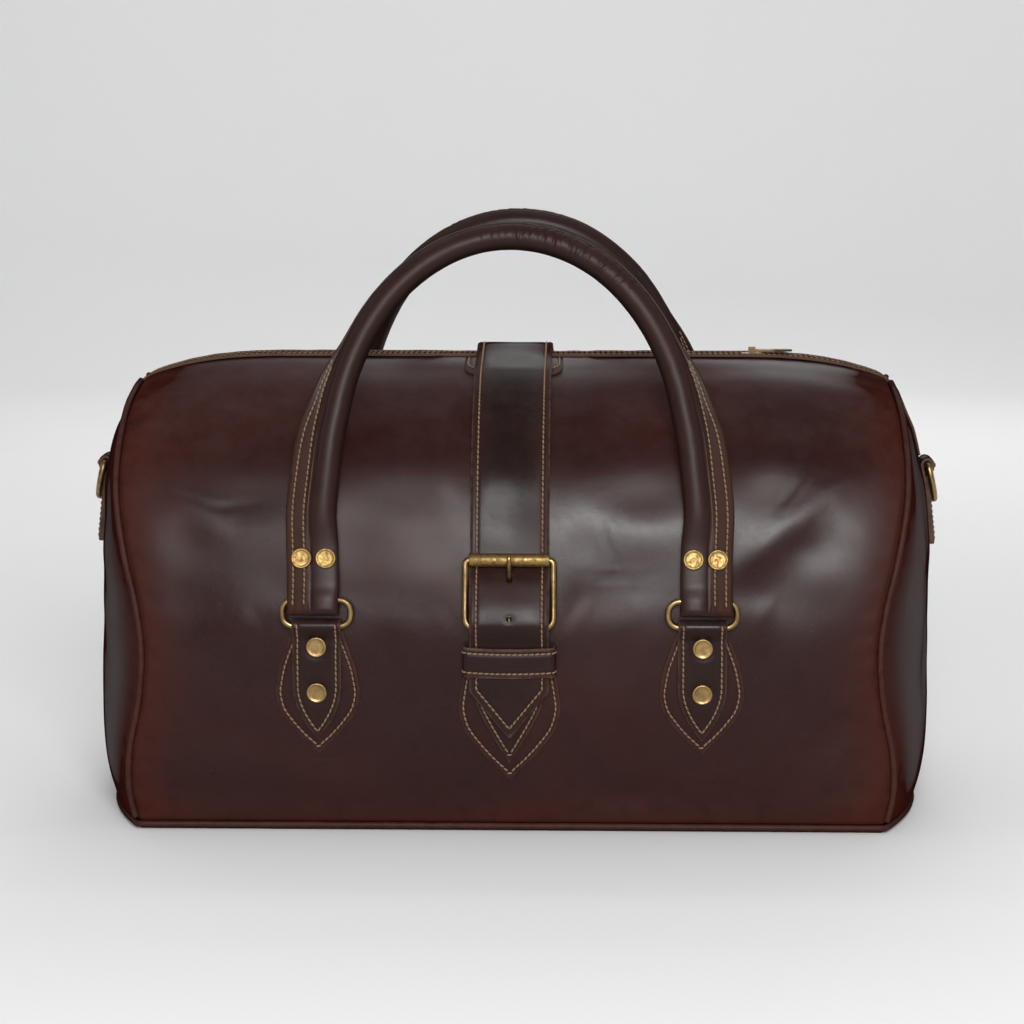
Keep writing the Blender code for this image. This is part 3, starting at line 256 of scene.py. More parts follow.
@dataclass(frozen=True)
class BodyShape:
    """The body's outer surface, as the frame's panels have it.

    Attributes:
        flat_half: Half the length over which the top is level.
        end_drop: How far the top falls at its ends.
        drop_power: How late along the top that fall comes.
        bulge_power: How square an end panel's section is.
        narrowing_share: How much thinner the body is at its ends.
        profile_shares: The front's section: share of the half depth, share of the height.
        seam_shares: Share of the height, half length of the end seam.
        bulge_shares: Share of the height, share of the bulge.
        girth_steps: Steps of the search for the girth at a height.
    """

    half_length: float = 250 * MM
    half_depth: float = 127 * MM
    height: float = 266 * MM
    seam_height: float = 3.4 * MM
    flat_half: float = 130 * MM
    end_drop: float = 14 * MM
    drop_power: float = 2.8
    bulge: float = 38 * MM
    bulge_power: float = 2.2
    narrowing_share: float = 0.05
    profile_shares: Table = ((0.900, 0.000), (0.950, 0.140), (0.993, 0.320), (0.990, 0.480),
                             (0.915, 0.680), (0.770, 0.835), (0.520, 0.945), (0.290, 0.985),
                             (0.094, 1.000))
    seam_shares: Table = ((0.00, 0.864), (0.08, 0.880), (0.17, 0.876), (0.28, 0.853),
                          (0.39, 0.844), (0.49, 0.856), (0.61, 0.884), (0.76, 0.907),
                          (0.92, 0.906), (1.00, 0.896))
    bulge_shares: Table = ((0.00, 0.64), (0.08, 0.69), (0.17, 0.78), (0.28, 0.94), (0.39, 1.00),
                           (0.56, 0.80), (0.67, 0.60), (0.79, 0.40), (0.88, 0.27), (0.92, 0.17),
                           (1.00, 0.03))
    girth_steps: int = 24

    @cached_property
    def girths(self) -> Array:
        """A fine run of girths, from 0 at the base to 1 at the mouth."""
        return np.linspace(0, 1, 4001)

    @cached_property
    def shares(self) -> tuple[Array, Array]:
        """The depth and height shares at the fine girths."""
        steps = len(self.profile_shares) - 1
        table = [(k / steps, *row) for k, row in enumerate(self.profile_shares)]
        return curve(table, self.girths, 1), curve(table, self.girths, 2)

    def height_share(self, girth: Array) -> Array:
        """Share of the height at a girth."""
        return np.interp(girth, self.girths, self.shares[1])

    def drop(self, x: Array) -> Array:
        """Find how far the top falls.

        Args:
            x: Places along the bag.

        Returns:
            The drop there.
        """
        seam_end = self.seam_shares[-1][1] * self.half_length
        run = np.maximum(np.abs(x) - self.flat_half, 0) / (seam_end - self.flat_half)
        return self.end_drop * run**self.drop_power

    def seam_half(self, height_share: Array) -> Array:
        """Half the length between the end seams at a share of the height."""
        return curve(self.seam_shares, height_share) * self.half_length

    def skin(self, x: Array, girth: Array) -> Array:
        """Find points on the front's outer surface.

        Args:
            x: Places along the bag.
            girth: Their girths, from 0 at the base to 1 at the mouth.

        Returns:
            The points.
        """
        x, girth = np.broadcast_arrays(np.asarray(x, float), np.asarray(girth, float))
        depth_share = np.interp(girth, self.girths, self.shares[0])
        share = self.height_share(girth)
        along = np.abs(x) / self.seam_half(share)
        belly = np.sin(math.pi * np.minimum(girth, 1)) * self.narrowing_share * along**2
        depth = depth_share * (1 - belly) * self.half_depth
        height = self.seam_height + share * (self.height - self.seam_height)
        return np.stack([x, -depth, height - self.drop(x) * share**3], axis=-1)

    def girth_at(self, x: Array, height: Array) -> Array:
        """Find the girth at which the front reaches a height.

        Args:
            x: Places along the bag.
            height: The heights there.

        Returns:
            The girths.
        """
        rise = self.height - self.seam_height
        share = np.clip((np.asarray(height) - self.seam_height) / rise, 0, 1)
        for _ in range(self.girth_steps):
            share = (height - self.seam_height + self.drop(x) * share**3) / rise
            share = np.clip(share, 0, 1)
        return np.interp(share, self.shares[1], self.girths)

    def normal(self, x: Array, girth: Array) -> Array:
        """Find the outward normals of the front's surface.

        Args:
            x: Places along the bag.
            girth: Their girths.

        Returns:
            The normals.
        """
        step = 0.004
        up = self.skin(x, np.minimum(girth + step, 1)) - self.skin(x, np.maximum(girth - step, 0))
        along = self.skin(x + MM, girth) - self.skin(x - MM, girth)
        return unit(np.cross(along, up))

    def stand_off(self, x: Array, height: Array, distance: Array) -> Array:
        """Find points outside the front's surface.

        Args:
            x: Places along the bag.
            height: The heights there.
            distance: How far out the points stand.

        Returns:
            The points.
        """
        x, height = np.broadcast_arrays(np.asarray(x, float), np.asarray(height, float))
        girth = self.girth_at(x, height)
        out = self.normal(x, girth) * np.asarray(distance, float)[..., None]
        return self.skin(x, girth) + out

    def out_at(self, x: Array, height: Array) -> Array:
        """The outward normals of the front's surface at a height."""
        x, height = np.broadcast_arrays(np.asarray(x, float), np.asarray(height, float))
        return self.normal(x, self.girth_at(x, height))

    def seam(self, girth: Array) -> Array:
        """Points on the right front end seam."""
        return self.skin(self.seam_half(self.height_share(girth)), girth)

    def seam_girth(self, height: Array) -> Array:
        """The girth at which the end seam reaches a height."""
        return np.interp(height, self.seam(self.girths)[:, 2], self.girths)

    def end_x(self, y: Array, girth: Array) -> Array:
        """Find how far out the right end panel stands.

        Args:
            y: Places across the bag.
            girth: Girths of the seam's points that are level with them.

        Returns:
            The X of the panel there.
        """
        seam = self.seam(girth)
        bulge = curve(self.bulge_shares, self.height_share(girth)) * self.bulge
        away = np.minimum(np.abs(y / seam[..., 1]), 1)
        return seam[..., 0] + bulge * (1 - away**self.bulge_power)

    def ridge(self, height: Array) -> Array:
        """Find the right end's outermost points.

        Args:
            height: Their heights.

        Returns:
            The points.
        """
        height = np.asarray(height, float)
        x = self.end_x(np.zeros(height.shape), self.seam_girth(height))
        return np.stack([x, np.zeros(height.shape), height], axis=-1)

    def ridge_out(self, height: Array) -> Array:
        """The right end's outward normals over the middle of its depth."""
        run = unit(self.ridge(height + MM) - self.ridge(height - MM))
        return np.stack([run[..., 2], np.zeros(run.shape[:-1]), -run[..., 0]], axis=-1)


BODY = BodyShape()


# Mesh tools


class MeshKit:
    """Collects faces of several shapes into one mesh."""

    def __init__(self) -> None:
        """Start empty."""
        self.verts: list[Array] = []
        self.faces: list[tuple[int, ...]] = []
        self.slots: list[int] = []
        self.values: dict[str, list[Array]] = {}
        self.count = 0

    def add(self, verts: Array, faces: Sequence[Sequence[int]], slot: int = 0,
            **values: Array) -> None:
        """Add a shape.

        Args:
            verts: Its points, one to a row.
            faces: Its faces, as indices of the points.
            slot: The material slot of its faces.
            values: Named values of its points, for the finish to read.
        """
        self.verts.append(verts)
        self.faces += [tuple(int(i) + self.count for i in face) for face in faces]
        self.slots += [slot] * len(faces)
        self.count += len(verts)
        for name, value in values.items():
            self.values.setdefault(name, []).append(np.broadcast_to(value, len(verts)))

    def object(self, name: str, *finishes: Material, flat: bool = False,
               closed: bool = False) -> Object:
        """Make the object.

        Args:
            name: The object's name.
            finishes: Its materials, in the order of the slots.
            flat: Whether it is shaded flat.
            closed: Whether its shapes are closed, so that every face is turned outward.

        Returns:
            The object, linked to the scene.
        """
        mesh = bpy.data.meshes.new(name)
        mesh.from_pydata(np.concatenate(self.verts).tolist(), [], self.faces)
        mesh.polygons.foreach_set("material_index", self.slots)
        mesh.polygons.foreach_set("use_smooth", [not flat] * len(self.faces))
        for label, parts in self.values.items():
            layer = mesh.attributes.new(label, "FLOAT", "POINT")
            layer.data.foreach_set("value", np.concatenate(parts).astype(np.float32))
        mesh.update()
        if closed:
            edit(mesh, lambda work: bmesh.ops.recalc_face_normals(work, faces=work.faces))
        item = bpy.data.objects.new(name, mesh)
        bpy.context.scene.collection.objects.link(item)
        for finish in finishes:
            mesh.materials.append(finish)
        return item


def edit(mesh: bpy.types.Mesh, change: Callable[[bmesh.types.BMesh], object]) -> None:
    """Change a mesh through bmesh.

    Args:
        mesh: The mesh.
        change: What is done to it.
    """
    work = bmesh.new()
    work.from_mesh(mesh)
    change(work)
    work.to_mesh(mesh)
    work.free()


def make(name: str, verts: Array, faces: Sequence, *finishes: Material, closed: bool = True,
         **values: Array | float) -> Object:
    """Make an object of one shape.

    Args:
        name: The object's name.
        verts: Its points.
        faces: Its faces, as indices of the points.
        finishes: Its materials.
        closed: Whether the shape is closed, so that every face is turned outward.
        values: Named values of its points, for the finish to read.

    Returns:
        The object.
    """
    kit = MeshKit()
    kit.add(verts, faces, **values)
    return kit.object(name, *finishes, closed=closed)


def grid_faces(rows: int, columns: int, close_rows: bool = False,
               close_columns: bool = False) -> list[tuple[int, ...]]:
    """Quads between the points of a grid that is stored row by row.

    Args:
        rows: Its rows.
        columns: Its columns.
        close_rows: Whether the last row joins the first.
        close_columns: Whether the last column joins the first.

    Returns:
        The faces.
    """
    faces = []
    for i in range(rows if close_rows else rows - 1):
        below, above = i * columns, (i + 1) % rows * columns
        for j in range(columns if close_columns else columns - 1):
            after = (j + 1) % columns
            faces.append((below + j, below + after, above + after, above + j))
    return faces


def capped_faces(rings: int, sides: int) -> list[tuple[int, ...]]:
    """Faces of a tube that is stored ring by ring, with a cap on each end."""
    ends = [range(sides)[::-1], range((rings - 1) * sides, rings * sides)]
    return grid_faces(rings, sides, False, True) + [tuple(end) for end in ends]


def turned(faces: Sequence[Sequence[int]]) -> list[tuple[int, ...]]:
    """Faces seen from their other side."""
    return [tuple(reversed(face)) for face in faces]


def grid_normals(grid: Array) -> Array:
    """Normals of a grid of points: across the columns, then along the rows."""
    return unit(np.cross(np.gradient(grid, axis=1), np.gradient(grid, axis=0)))


def slab_faces(rows: int, columns: int, flip: bool) -> tuple[list, list]:
    """Faces of a slab whose outer grid is followed by its inner grid.

    Args:
        rows: Rows of each grid.
        columns: Columns of each grid.
        flip: Whether the grid runs the other way round.

    Returns:
        The faces of the two leather sides, and those of the cut edge.
    """
    count = rows * columns
    outer = grid_faces(rows, columns)
    inner = [tuple(count + i for i in face) for face in turned(outer)]
    loop = list(range(columns)) + [i * columns + columns - 1 for i in range(1, rows)]
    loop += [(rows - 1) * columns + j for j in range(columns - 2, -1, -1)]
    loop += [i * columns for i in range(rows - 2, 0, -1)]
    edge = [(a, count + a, count + b, b) for a, b in zip(loop, loop[1:] + loop[:1])]
    if flip:
        outer, inner, edge = turned(outer), turned(inner), turned(edge)
    return outer + inner, edge


def soften(item: Object, width: float, segments: int = 3, angle: float = 50) -> Object:
    """Round an object's sharp edges.

    Args:
        item: The object.
        width: How far its edges are rounded.
        segments: Steps of the rounding.
        angle: The angle in degrees from which an edge is sharp.

    Returns:
        The object.
    """
    bevel = item.modifiers.new("Soft edges", "BEVEL")
    bevel.width = width
    bevel.segments = segments
    bevel.limit_method = "ANGLE"
    bevel.angle_limit = math.radians(angle)
    bevel.use_clamp_overlap = True
    return item


def tube(points: Array, radii: Array | float, sides: int = 12, closed: bool = False,
         out: Sequence[float] | Array | None = None) -> tuple[Array, list]:
    """Points and faces of a tube along a line.

    Args:
        points: The line's points.
        radii: The radius at each point.
        sides: Sides of the tube.
        closed: Whether the line is a loop.
        out: The direction that a side's edge faces, or None for one that turns least.

    Returns:
        The points and the faces.
    """
    count = len(points)
    if closed:
        runs = unit(np.roll(points, -1, axis=0) - np.roll(points, 1, axis=0))
    else:
        runs = unit(np.gradient(points, axis=0))
    if out is None:
        out = np.zeros_like(points)
        guess = np.array([0.0, 0.0, 1.0] if abs(runs[0][2]) < 0.9 else [1.0, 0.0, 0.0])
        for k in range(count):
            guess = guess - runs[k] * (guess @ runs[k])
            guess = guess / np.linalg.norm(guess)
            out[k] = guess
    side = unit(np.cross(runs, np.broadcast_to(out, (count, 3))))
    out = np.cross(side, runs)
    angles = circle(sides)
    ring = (side[:, None] * np.cos(angles)[None, :, None]
            + out[:, None] * np.sin(angles)[None, :, None])
    verts = points[:, None] + ring * np.broadcast_to(radii, count)[:, None, None]
    faces = grid_faces(count, sides, True, True) if closed else capped_faces(count, sides)
    return verts.reshape(-1, 3), faces


# Finishes


class Wiring:
    """Adds nodes to a shader tree and links them."""

    def __init__(self, tree: Tree) -> None:
        """Work on a tree."""
        self.tree = tree

    def node(self, kind: str, inputs: dict | None = None,
             **settings: object) -> bpy.types.Node:
        """Add a node.

        Args:
            kind: Its type, without the ShaderNode in front.
            inputs: Values or sockets for its inputs, by name or number.
            settings: Its settings.

        Returns:
            The node.
        """
        made = self.tree.nodes.new(f"ShaderNode{kind}")
        for name, value in settings.items():
            setattr(made, name, value)
        for key, value in (inputs or {}).items():
            self.feed(made.inputs[key], value)
        return made

    def feed(self, target: Socket, value: Feed) -> None:
        """Link a socket to an input, or set its value.

        Args:
            target: The input.
            value: A socket, a number or a colour.
        """
        if isinstance(value, Socket):
            self.tree.links.new(value, target)
        elif isinstance(value, tuple) and len(value) == 3 and target.type == "RGBA":
            target.default_value = (*value, 1.0)
        else:
            target.default_value = value

    def math(self, operation: str, a: Feed, b: Feed = 0.0, clamp: bool = False) -> Socket:
        """Combine two numbers."""
        made = self.node("Math", {0: a, 1: b}, operation=operation, use_clamp=clamp)
        return made.outputs[0]

    def plus(self, a: Feed, b: Feed, clamp: bool = False) -> Socket:
        """Add two numbers."""
        return self.math("ADD", a, b, clamp)

    def minus(self, a: Feed, b: Feed, clamp: bool = False) -> Socket:
        """Take one number from another."""
        return self.math("SUBTRACT", a, b, clamp)

    def times(self, a: Feed, b: Feed, clamp: bool = False) -> Socket:
        """Multiply two numbers."""
        return self.math("MULTIPLY", a, b, clamp)

    def mix(self, share: Feed, a: Feed, b: Feed, blend: str = "MIX") -> Socket:
        """Mix two colours."""
        made = self.node("Mix", {0: share, 6: a, 7: b}, data_type="RGBA", blend_type=blend)
        return made.outputs[2]

    def step(self, value: Feed, low: float, high: float, top: float = 1.0) -> Socket:
        """Rise smoothly from 0 to top as a value goes from low to high.

        Args:
            value: The value.
            low: Where the rise begins.
            high: Where it ends.
            top: What it reaches.

        Returns:
            The rise's socket.
        """
        made = self.node("MapRange", {0: value, 1: low, 2: high, 3: 0.0, 4: top},
                         interpolation_type="SMOOTHSTEP")
        return made.outputs[0]

    def place(self, scale: tuple[float, float, float] = (1, 1, 1)) -> Socket:
        """The object's own coordinates, scaled."""
        spot = self.node("TexCoord").outputs["Object"]
        return self.node("Mapping", {"Vector": spot, "Scale": scale}).outputs[0]

    def noise(self, where: Socket, scale: Feed, detail: float = 3.0, rough: float = 0.5,
              bend: float = 0.0) -> Socket:
        """Make a noise value.

        Args:
            where: The coordinates.
            scale: How many waves go to a metre.
            detail: How many finer layers it has.
            rough: How strong these are.
            bend: How much the coordinates are bent by it.

        Returns:
            The noise's socket.
        """
        made = self.node("TexNoise", {"Vector": where, "Scale": scale, "Detail": detail,
                                      "Roughness": rough, "Distortion": bend})
        return made.outputs["Fac"]

    def value(self, name: str) -> Socket:
        """A value that the piece's mesh carries for its finish."""
        return self.node("Attribute", attribute_name=name).outputs["Fac"]


def effect_group(name: str, inputs: dict[str, float | Colour],
                 outputs: Sequence[str]) -> tuple[Tree, Wiring, dict, dict]:
    """Start a shader node group.

    Args:
        name: The group's name.
        inputs: Its inputs with their first values: a number or a colour.
        outputs: Its outputs; one whose name ends in Colour is a colour.

    Returns:
        The group, its wiring, its input sockets and its output sockets, by name.
    """
    tree = bpy.data.node_groups.new(name, "ShaderNodeTree")
    for label, value in inputs.items():
        kind = "NodeSocketFloat" if isinstance(value, (int, float)) else "NodeSocketColor"
        made = tree.interface.new_socket(label, in_out="INPUT", socket_type=kind)
        made.default_value = value if isinstance(value, (int, float)) else (*value, 1.0)
    for label in outputs:
        kind = "NodeSocketColor" if label.endswith("Colour") else "NodeSocketFloat"
        tree.interface.new_socket(label, in_out="OUTPUT", socket_type=kind)
    wires = Wiring(tree)
    start, end = tree.nodes.new("NodeGroupInput"), tree.nodes.new("NodeGroupOutput")
    given = {label: start.outputs[label] for label in inputs}
    return tree, wires, given, {label: end.inputs[label] for label in outputs}


class Effects:
    """The shader node groups that more than one finish uses, each built once."""

    def __init__(self) -> None:
        """Build the groups."""
        self.grain = self.build_grain()
        self.tone = self.build_tone()
        self.scratches = self.build_scratches()
        self.edge_wear = self.build_edge_wear()
        self.tarnish = self.build_tarnish()
        self.dust = self.build_dust()

    @staticmethod
    def build_grain() -> Tree:
        """Leather grain: fine pebbles, pores and the long wrinkles of the hide."""
        tree, w, given, out = effect_group(
            "Hide grain", {"Pebbles": 900.0, "Wrinkles": 60.0, "Wrinkle share": 0.5},
            ("Height", "Pores"))
        bent = w.noise(w.place(), 160.0, 2.0)
        where = w.node("VectorMath", {0: w.place(), 1: w.node(
            "VectorMath", {0: bent, 1: (0.004, 0.004, 0.004)}, operation="MULTIPLY").outputs[0]},
            operation="ADD").outputs[0]
        cells = w.node("TexVoronoi", {"Vector": where, "Scale": given["Pebbles"]},
                       feature="DISTANCE_TO_EDGE").outputs["Distance"]
        pebbles = w.step(cells, 0.0, 0.22)
        long_way = w.noise(w.place((0.35, 1.0, 1.0)), given["Wrinkles"], 5.0, 0.62, 0.6)
        wrinkles = w.minus(1.0, w.times(w.math(
            "ABSOLUTE", w.minus(long_way, 0.5)), 6.0), clamp=True)
        sunk = w.times(wrinkles, given["Wrinkle share"])
        w.feed(out["Height"], w.minus(w.times(pebbles, 0.5), sunk))
        fine = w.noise(w.place(), 700.0, 2.0)
        w.feed(out["Pores"], w.step(fine, 0.62, 0.74))
        return tree

    @staticmethod
    def build_tone() -> Tree:
        """The clouded colour of pull-up leather, warmer where its oils have moved away, and
        darkened where painted shade is given.
        """
        tree, w, given, out = effect_group(
            "Pull-up tone", {"Base": (0.06, 0.02, 0.014), "Warm": (0.12, 0.04, 0.02),
                             "Dark": (0.02, 0.008, 0.006), "Clouds": 9.0, "Warmth": 0.3},
            ("Tone Colour", "Cloud"))
        clouds = w.noise(w.place((0.8, 1.0, 1.3)), given["Clouds"], 5.0, 0.6, 0.4)
        mottle = w.noise(w.place(), 85.0, 4.0, 0.65)
        warm = w.plus(w.times(w.step(clouds, 0.45, 0.72), given["Warmth"]),
                      w.value("warm"), clamp=True)
        colour = w.mix(warm, given["Base"], given["Warm"])
        dark = w.times(w.step(mottle, 0.5, 0.68), 0.30)
        colour = w.mix(dark, colour, given["Dark"])
        # Painted shade: the mesh's shade value darkens the colour towards the dark one.
        colour = w.mix(w.value("crease"), colour, given["Dark"])
        w.feed(out["Tone Colour"], colour)
        w.feed(out["Cloud"], clouds)
        return tree

    @staticmethod
    def build_scratches() -> Tree:
        """Short light scratches in two directions."""
        tree, w, given, out = effect_group("Scratches", {"Scale": 30.0, "Amount": 0.6},
                                           ("Mask",))
        masks = []
        for turn, spread in ((0.6, 0.57), (-0.9, 0.6)):
            spot = w.node("TexCoord").outputs["Object"]
            where = w.node("Mapping", {"Vector": spot, "Rotation": (0.0, turn, 0.3),
                                       "Scale": (0.12, 1.0, 1.6)}).outputs[0]
            lines = w.noise(where, w.times(given["Scale"], 5.0), 1.0, 0.4)
            thin = w.math("ABSOLUTE", w.minus(lines, 0.5))
            patches = w.noise(w.place(), given["Scale"], 1.0)
            masks.append(w.times(w.minus(1.0, w.step(thin, 0.0, 0.006)),
                                w.step(patches, spread, spread + 0.06)))
        both = w.math("MAXIMUM", masks[0], masks[1])
        w.feed(out["Mask"], w.times(both, given["Amount"], clamp=True))
        return tree

    @staticmethod
    def build_edge_wear() -> Tree:
        """Wear that follows the edge value of a piece's mesh, broken up by noise."""
        tree, w, given, out = effect_group("Edge wear", {"Scale": 220.0, "Amount": 0.8},
                                           ("Mask",))
        broken = w.noise(w.place(), given["Scale"], 4.0, 0.7)
        mask = w.times(w.value("edge"), w.step(broken, 0.3, 0.62))
        w.feed(out["Mask"], w.times(mask, given["Amount"], clamp=True))
        return tree

    @staticmethod
    def build_tarnish() -> Tree:
        """Dark patina clouds and small pits on metal."""
        tree, w, given, out = effect_group("Tarnish", {"Scale": 120.0, "Amount": 0.5},
                                           ("Mask", "Height"))
        clouds = w.noise(w.place(), given["Scale"], 6.0, 0.68, 0.5)
        pits = w.noise(w.place(), w.times(given["Scale"], 9.0), 2.0)
        mask = w.plus(w.step(clouds, 0.40, 0.66), w.step(pits, 0.66, 0.78, 0.5), clamp=True)
        w.feed(out["Mask"], w.times(mask, given["Amount"], clamp=True))
        w.feed(out["Height"], w.minus(clouds, w.step(pits, 0.62, 0.8)))
        return tree

    @staticmethod
    def build_dust() -> Tree:
        """A faint film of dust on what faces up."""
        tree, w, given, out = effect_group("Dust", {"Amount": 0.2}, ("Mask",))
        up = w.node("SeparateXYZ", {0: w.node("NewGeometry").outputs["Normal"]}).outputs[2]
        film = w.times(w.step(up, 0.2, 1.0), w.step(w.noise(
            w.place(), 45.0, 6.0, 0.7), 0.35, 0.75))
        w.feed(out["Mask"], w.times(film, given["Amount"], clamp=True))
        return tree


class Surface:
    """A material in the making: its shader, its wiring and the effects placed in it."""

    def __init__(self, name: str, **constants: float) -> None:
        """Start a material.

        Args:
            name: Its name.
            constants: Values that are set on its shader's own sockets.
        """
        self.material = bpy.data.materials.new(name)
        self.material.use_nodes = True
        self.wires = Wiring(self.material.node_tree)
        self.shader = self.material.node_tree.nodes["Principled BSDF"]
        for label, value in constants.items():
            self.shader.inputs[label.replace("_", " ").title().replace("Ior", "IOR")
                               ].default_value = value

    def effect(self, group: Tree, **inputs: Feed) -> bpy.types.NodeOutputs:
        """Place an effect.

        Args:
            group: The effect's node group.
            inputs: This material's own values for its inputs.

        Returns:
            The effect's outputs.
        """
        named = {label.replace("_", " ").capitalize(): value for label, value in inputs.items()}
        made = self.wires.node("Group", node_tree=group)
        for label, value in named.items():
            self.wires.feed(made.inputs[label], value)
        return made.outputs

    def finish(self, colour: Socket, roughness: Socket, height: Socket,
               depth: float) -> Material:
        """Feed the shader and return the material.

        Args:
            colour: The base colour.
            roughness: The roughness.
            height: The height of the surface's relief.
            depth: How deep the relief is, in metres.

        Returns:
            The material.
        """
        self.wires.feed(self.shader.inputs["Base Color"], colour)
        self.wires.feed(self.shader.inputs["Roughness"], roughness)
        bump = self.wires.node("Bump", {"Height": height, "Strength": 1.0, "Distance": depth})
        self.wires.feed(self.shader.inputs["Normal"], bump.outputs[0])
        return self.material


@dataclass(frozen=True)
class HideFinish:
    """Pull-up leather.

    Attributes:
        name: The material's name.
        base: Its main colour.
        warm: Its colour where it has been pulled or rubbed.
        dark: Its colour in mottling and in painted shade.
        roughness: Its middle roughness.
        warmth: How much of the warm colour its clouds show.
        pebbles: How many pebbles of grain there are to a metre.
        depth: The depth of the grain.
        scratched: How strongly it is scratched.
        gloss: The refractive index that sets how strongly it mirrors.
        worn: Its colour at rubbed edges.
    """

    name: str
    base: Colour
    warm: Colour
    dark: Colour
    roughness: float = 0.27
    warmth: float = 0.3
    pebbles: float = 1500.0
    depth: float = 0.02 * MM
    scratched: float = 0.14
    gloss: float = 1.28
    worn: Colour = (0.105, 0.068, 0.050)

    def build(self, effects: Effects) -> Material:
        """Make the material.

        Args:
            effects: The shared shader node groups.

        Returns:
            The material.
        """
        s = Surface(self.name, ior=self.gloss)
        w = s.wires
        tone = s.effect(effects.tone, base=self.base, warm=self.warm, dark=self.dark,
                        warmth=self.warmth)
        grain = s.effect(effects.grain, pebbles=self.pebbles)
        wear = s.effect(effects.edge_wear)["Mask"]
        scratch = s.effect(effects.scratches, amount=self.scratched)["Mask"]
        dust = s.effect(effects.dust, amount=0.04)["Mask"]
        colour = w.mix(wear, tone["Tone Colour"], self.worn)
        colour = w.mix(scratch, colour, self.worn)
        colour = w.mix(dust, colour, (0.30, 0.27, 0.25))
        rough = w.plus(self.roughness, w.times(w.minus(tone["Cloud"], 0.5), 0.22))
        rough = w.plus(rough, w.times(grain["Pores"], 0.06))
        facing = w.node("LayerWeight", {"Blend": 0.5}).outputs["Facing"]
        glancing = w.math("POWER", facing, 2.0)
        rough = w.plus(rough, w.times(glancing, 0.28))
        rough = w.plus(rough, w.times(wear, 0.18), clamp=True)
        dull = w.times(w.value("warm"), 0.36)
        rough = w.plus(rough, dull, clamp=True)
        level = w.minus(w.minus(0.5, dull), w.times(glancing, 0.62), clamp=True)
        w.feed(s.shader.inputs["Specular IOR Level"], level)
        height = w.minus(grain["Height"], w.times(scratch, 0.6))
        return s.finish(colour, rough, height, self.depth)


@dataclass(frozen=True)
class CutEdgeFinish:
    """The cut edge of leather: fibrous, in faint layers of a light and a dark colour."""

    name: str
    light: Colour
    dark: Colour

    def build(self, effects: Effects) -> Material:
        """Make the material.

        Args:
            effects: The shared shader node groups; not used.

        Returns:
            The material.
        """
        s = Surface(self.name)
        w = s.wires
        fibre = w.noise(w.place(), 900.0, 5.0, 0.7, 0.8)
        blotch = w.noise(w.place(), 130.0, 4.0, 0.6)
        mottle = w.plus(w.times(fibre, 0.5), w.times(blotch, 0.5))
        colour = w.mix(w.step(mottle, 0.38, 0.62), self.dark, self.light)
        rough = w.plus(0.55, w.times(fibre, 0.3))
        return s.finish(colour, rough, fibre, 0.15 * MM)


@dataclass(frozen=True)
class BrassFinish:
    """Brass with a dark patina.

    Attributes:
        name: The material's name.
        bright: The colour of the clean metal.
        patina: The colour of the patina.
        tarnish: How much of the patina shows.
        roughness: The roughness of the clean metal.
        clouds: How many clouds of patina there are to a metre.
    """

    name: str
    bright: Colour
    patina: Colour
    tarnish: float = 0.6
    roughness: float = 0.30
    clouds: float = 120.0

    def build(self, effects: Effects) -> Material:
        """Make the material.

        Args:
            effects: The shared shader node groups.

        Returns:
            The material.
        """
        s = Surface(self.name, metallic=1.0)
        w = s.wires
        tarnish = s.effect(effects.tarnish, scale=self.clouds, amount=self.tarnish)
        scratch = s.effect(effects.scratches, scale=110.0, amount=0.5)["Mask"]
        wear = s.effect(effects.edge_wear, amount=0.7)["Mask"]
        colour = w.mix(tarnish["Mask"], self.bright, self.patina)
        colour = w.mix(wear, colour, tuple(min(c * 1.15, 1) for c in self.bright))
        rough = w.plus(self.roughness, w.times(tarnish["Mask"], 0.25))
        rough = w.plus(rough, w.times(scratch, 0.2), clamp=True)
        height = w.minus(tarnish["Height"], scratch)
        return s.finish(colour, rough, height, 0.05 * MM)


@dataclass(frozen=True)
class ThreadFinish:
    """Waxed thread of twisted strands, that turn a number of times in a stitch."""

    name: str
    light: Colour
    dark: Colour
    turns: float = 5.0

    def build(self, effects: Effects) -> Material:
        """Make the material.

        Args:
            effects: The shared shader node groups; not used.

        Returns:
            The material.
        """
        s = Surface(self.name)
        w = s.wires
        strands = w.math("SINE", w.times(w.value("twist"), 2 * math.pi * self.turns))
        lay = w.step(strands, -1.0, 0.6)
        soil = w.noise(w.place(), 60.0, 4.0, 0.6)
        colour = w.mix(lay, self.dark, self.light)
        colour = w.mix(w.step(soil, 0.5, 0.72, 0.6), colour, self.dark)
        rough = w.plus(0.5, w.times(soil, 0.25))
        return s.finish(colour, rough, strands, 0.08 * MM)


@dataclass(frozen=True)
class WeaveFinish:
    """The woven tape of a zip."""

    name: str
    light: Colour
    dark: Colour
    threads: float = 1400.0

    def build(self, effects: Effects) -> Material:
        """Make the material.

        Args:
            effects: The shared shader node groups.

        Returns:
            The material.
        """
        s = Surface(self.name)
        w = s.wires
        parts = w.node("SeparateXYZ", {0: w.place()})
        along = w.math("SINE", w.times(parts.outputs[0], self.threads * math.pi))
        over = w.math("SINE", w.times(parts.outputs[1], self.threads * math.pi))
        weave = w.times(along, over)
        dust = s.effect(effects.dust, amount=0.35)["Mask"]
        colour = w.mix(w.step(weave, -0.8, 0.8), self.dark, self.light)
        colour = w.mix(dust, colour, (0.20, 0.18, 0.16))
        rough = w.plus(0.78, w.times(w.noise(w.place(), 90.0), 0.15))
        return s.finish(colour, rough, weave, 0.12 * MM)


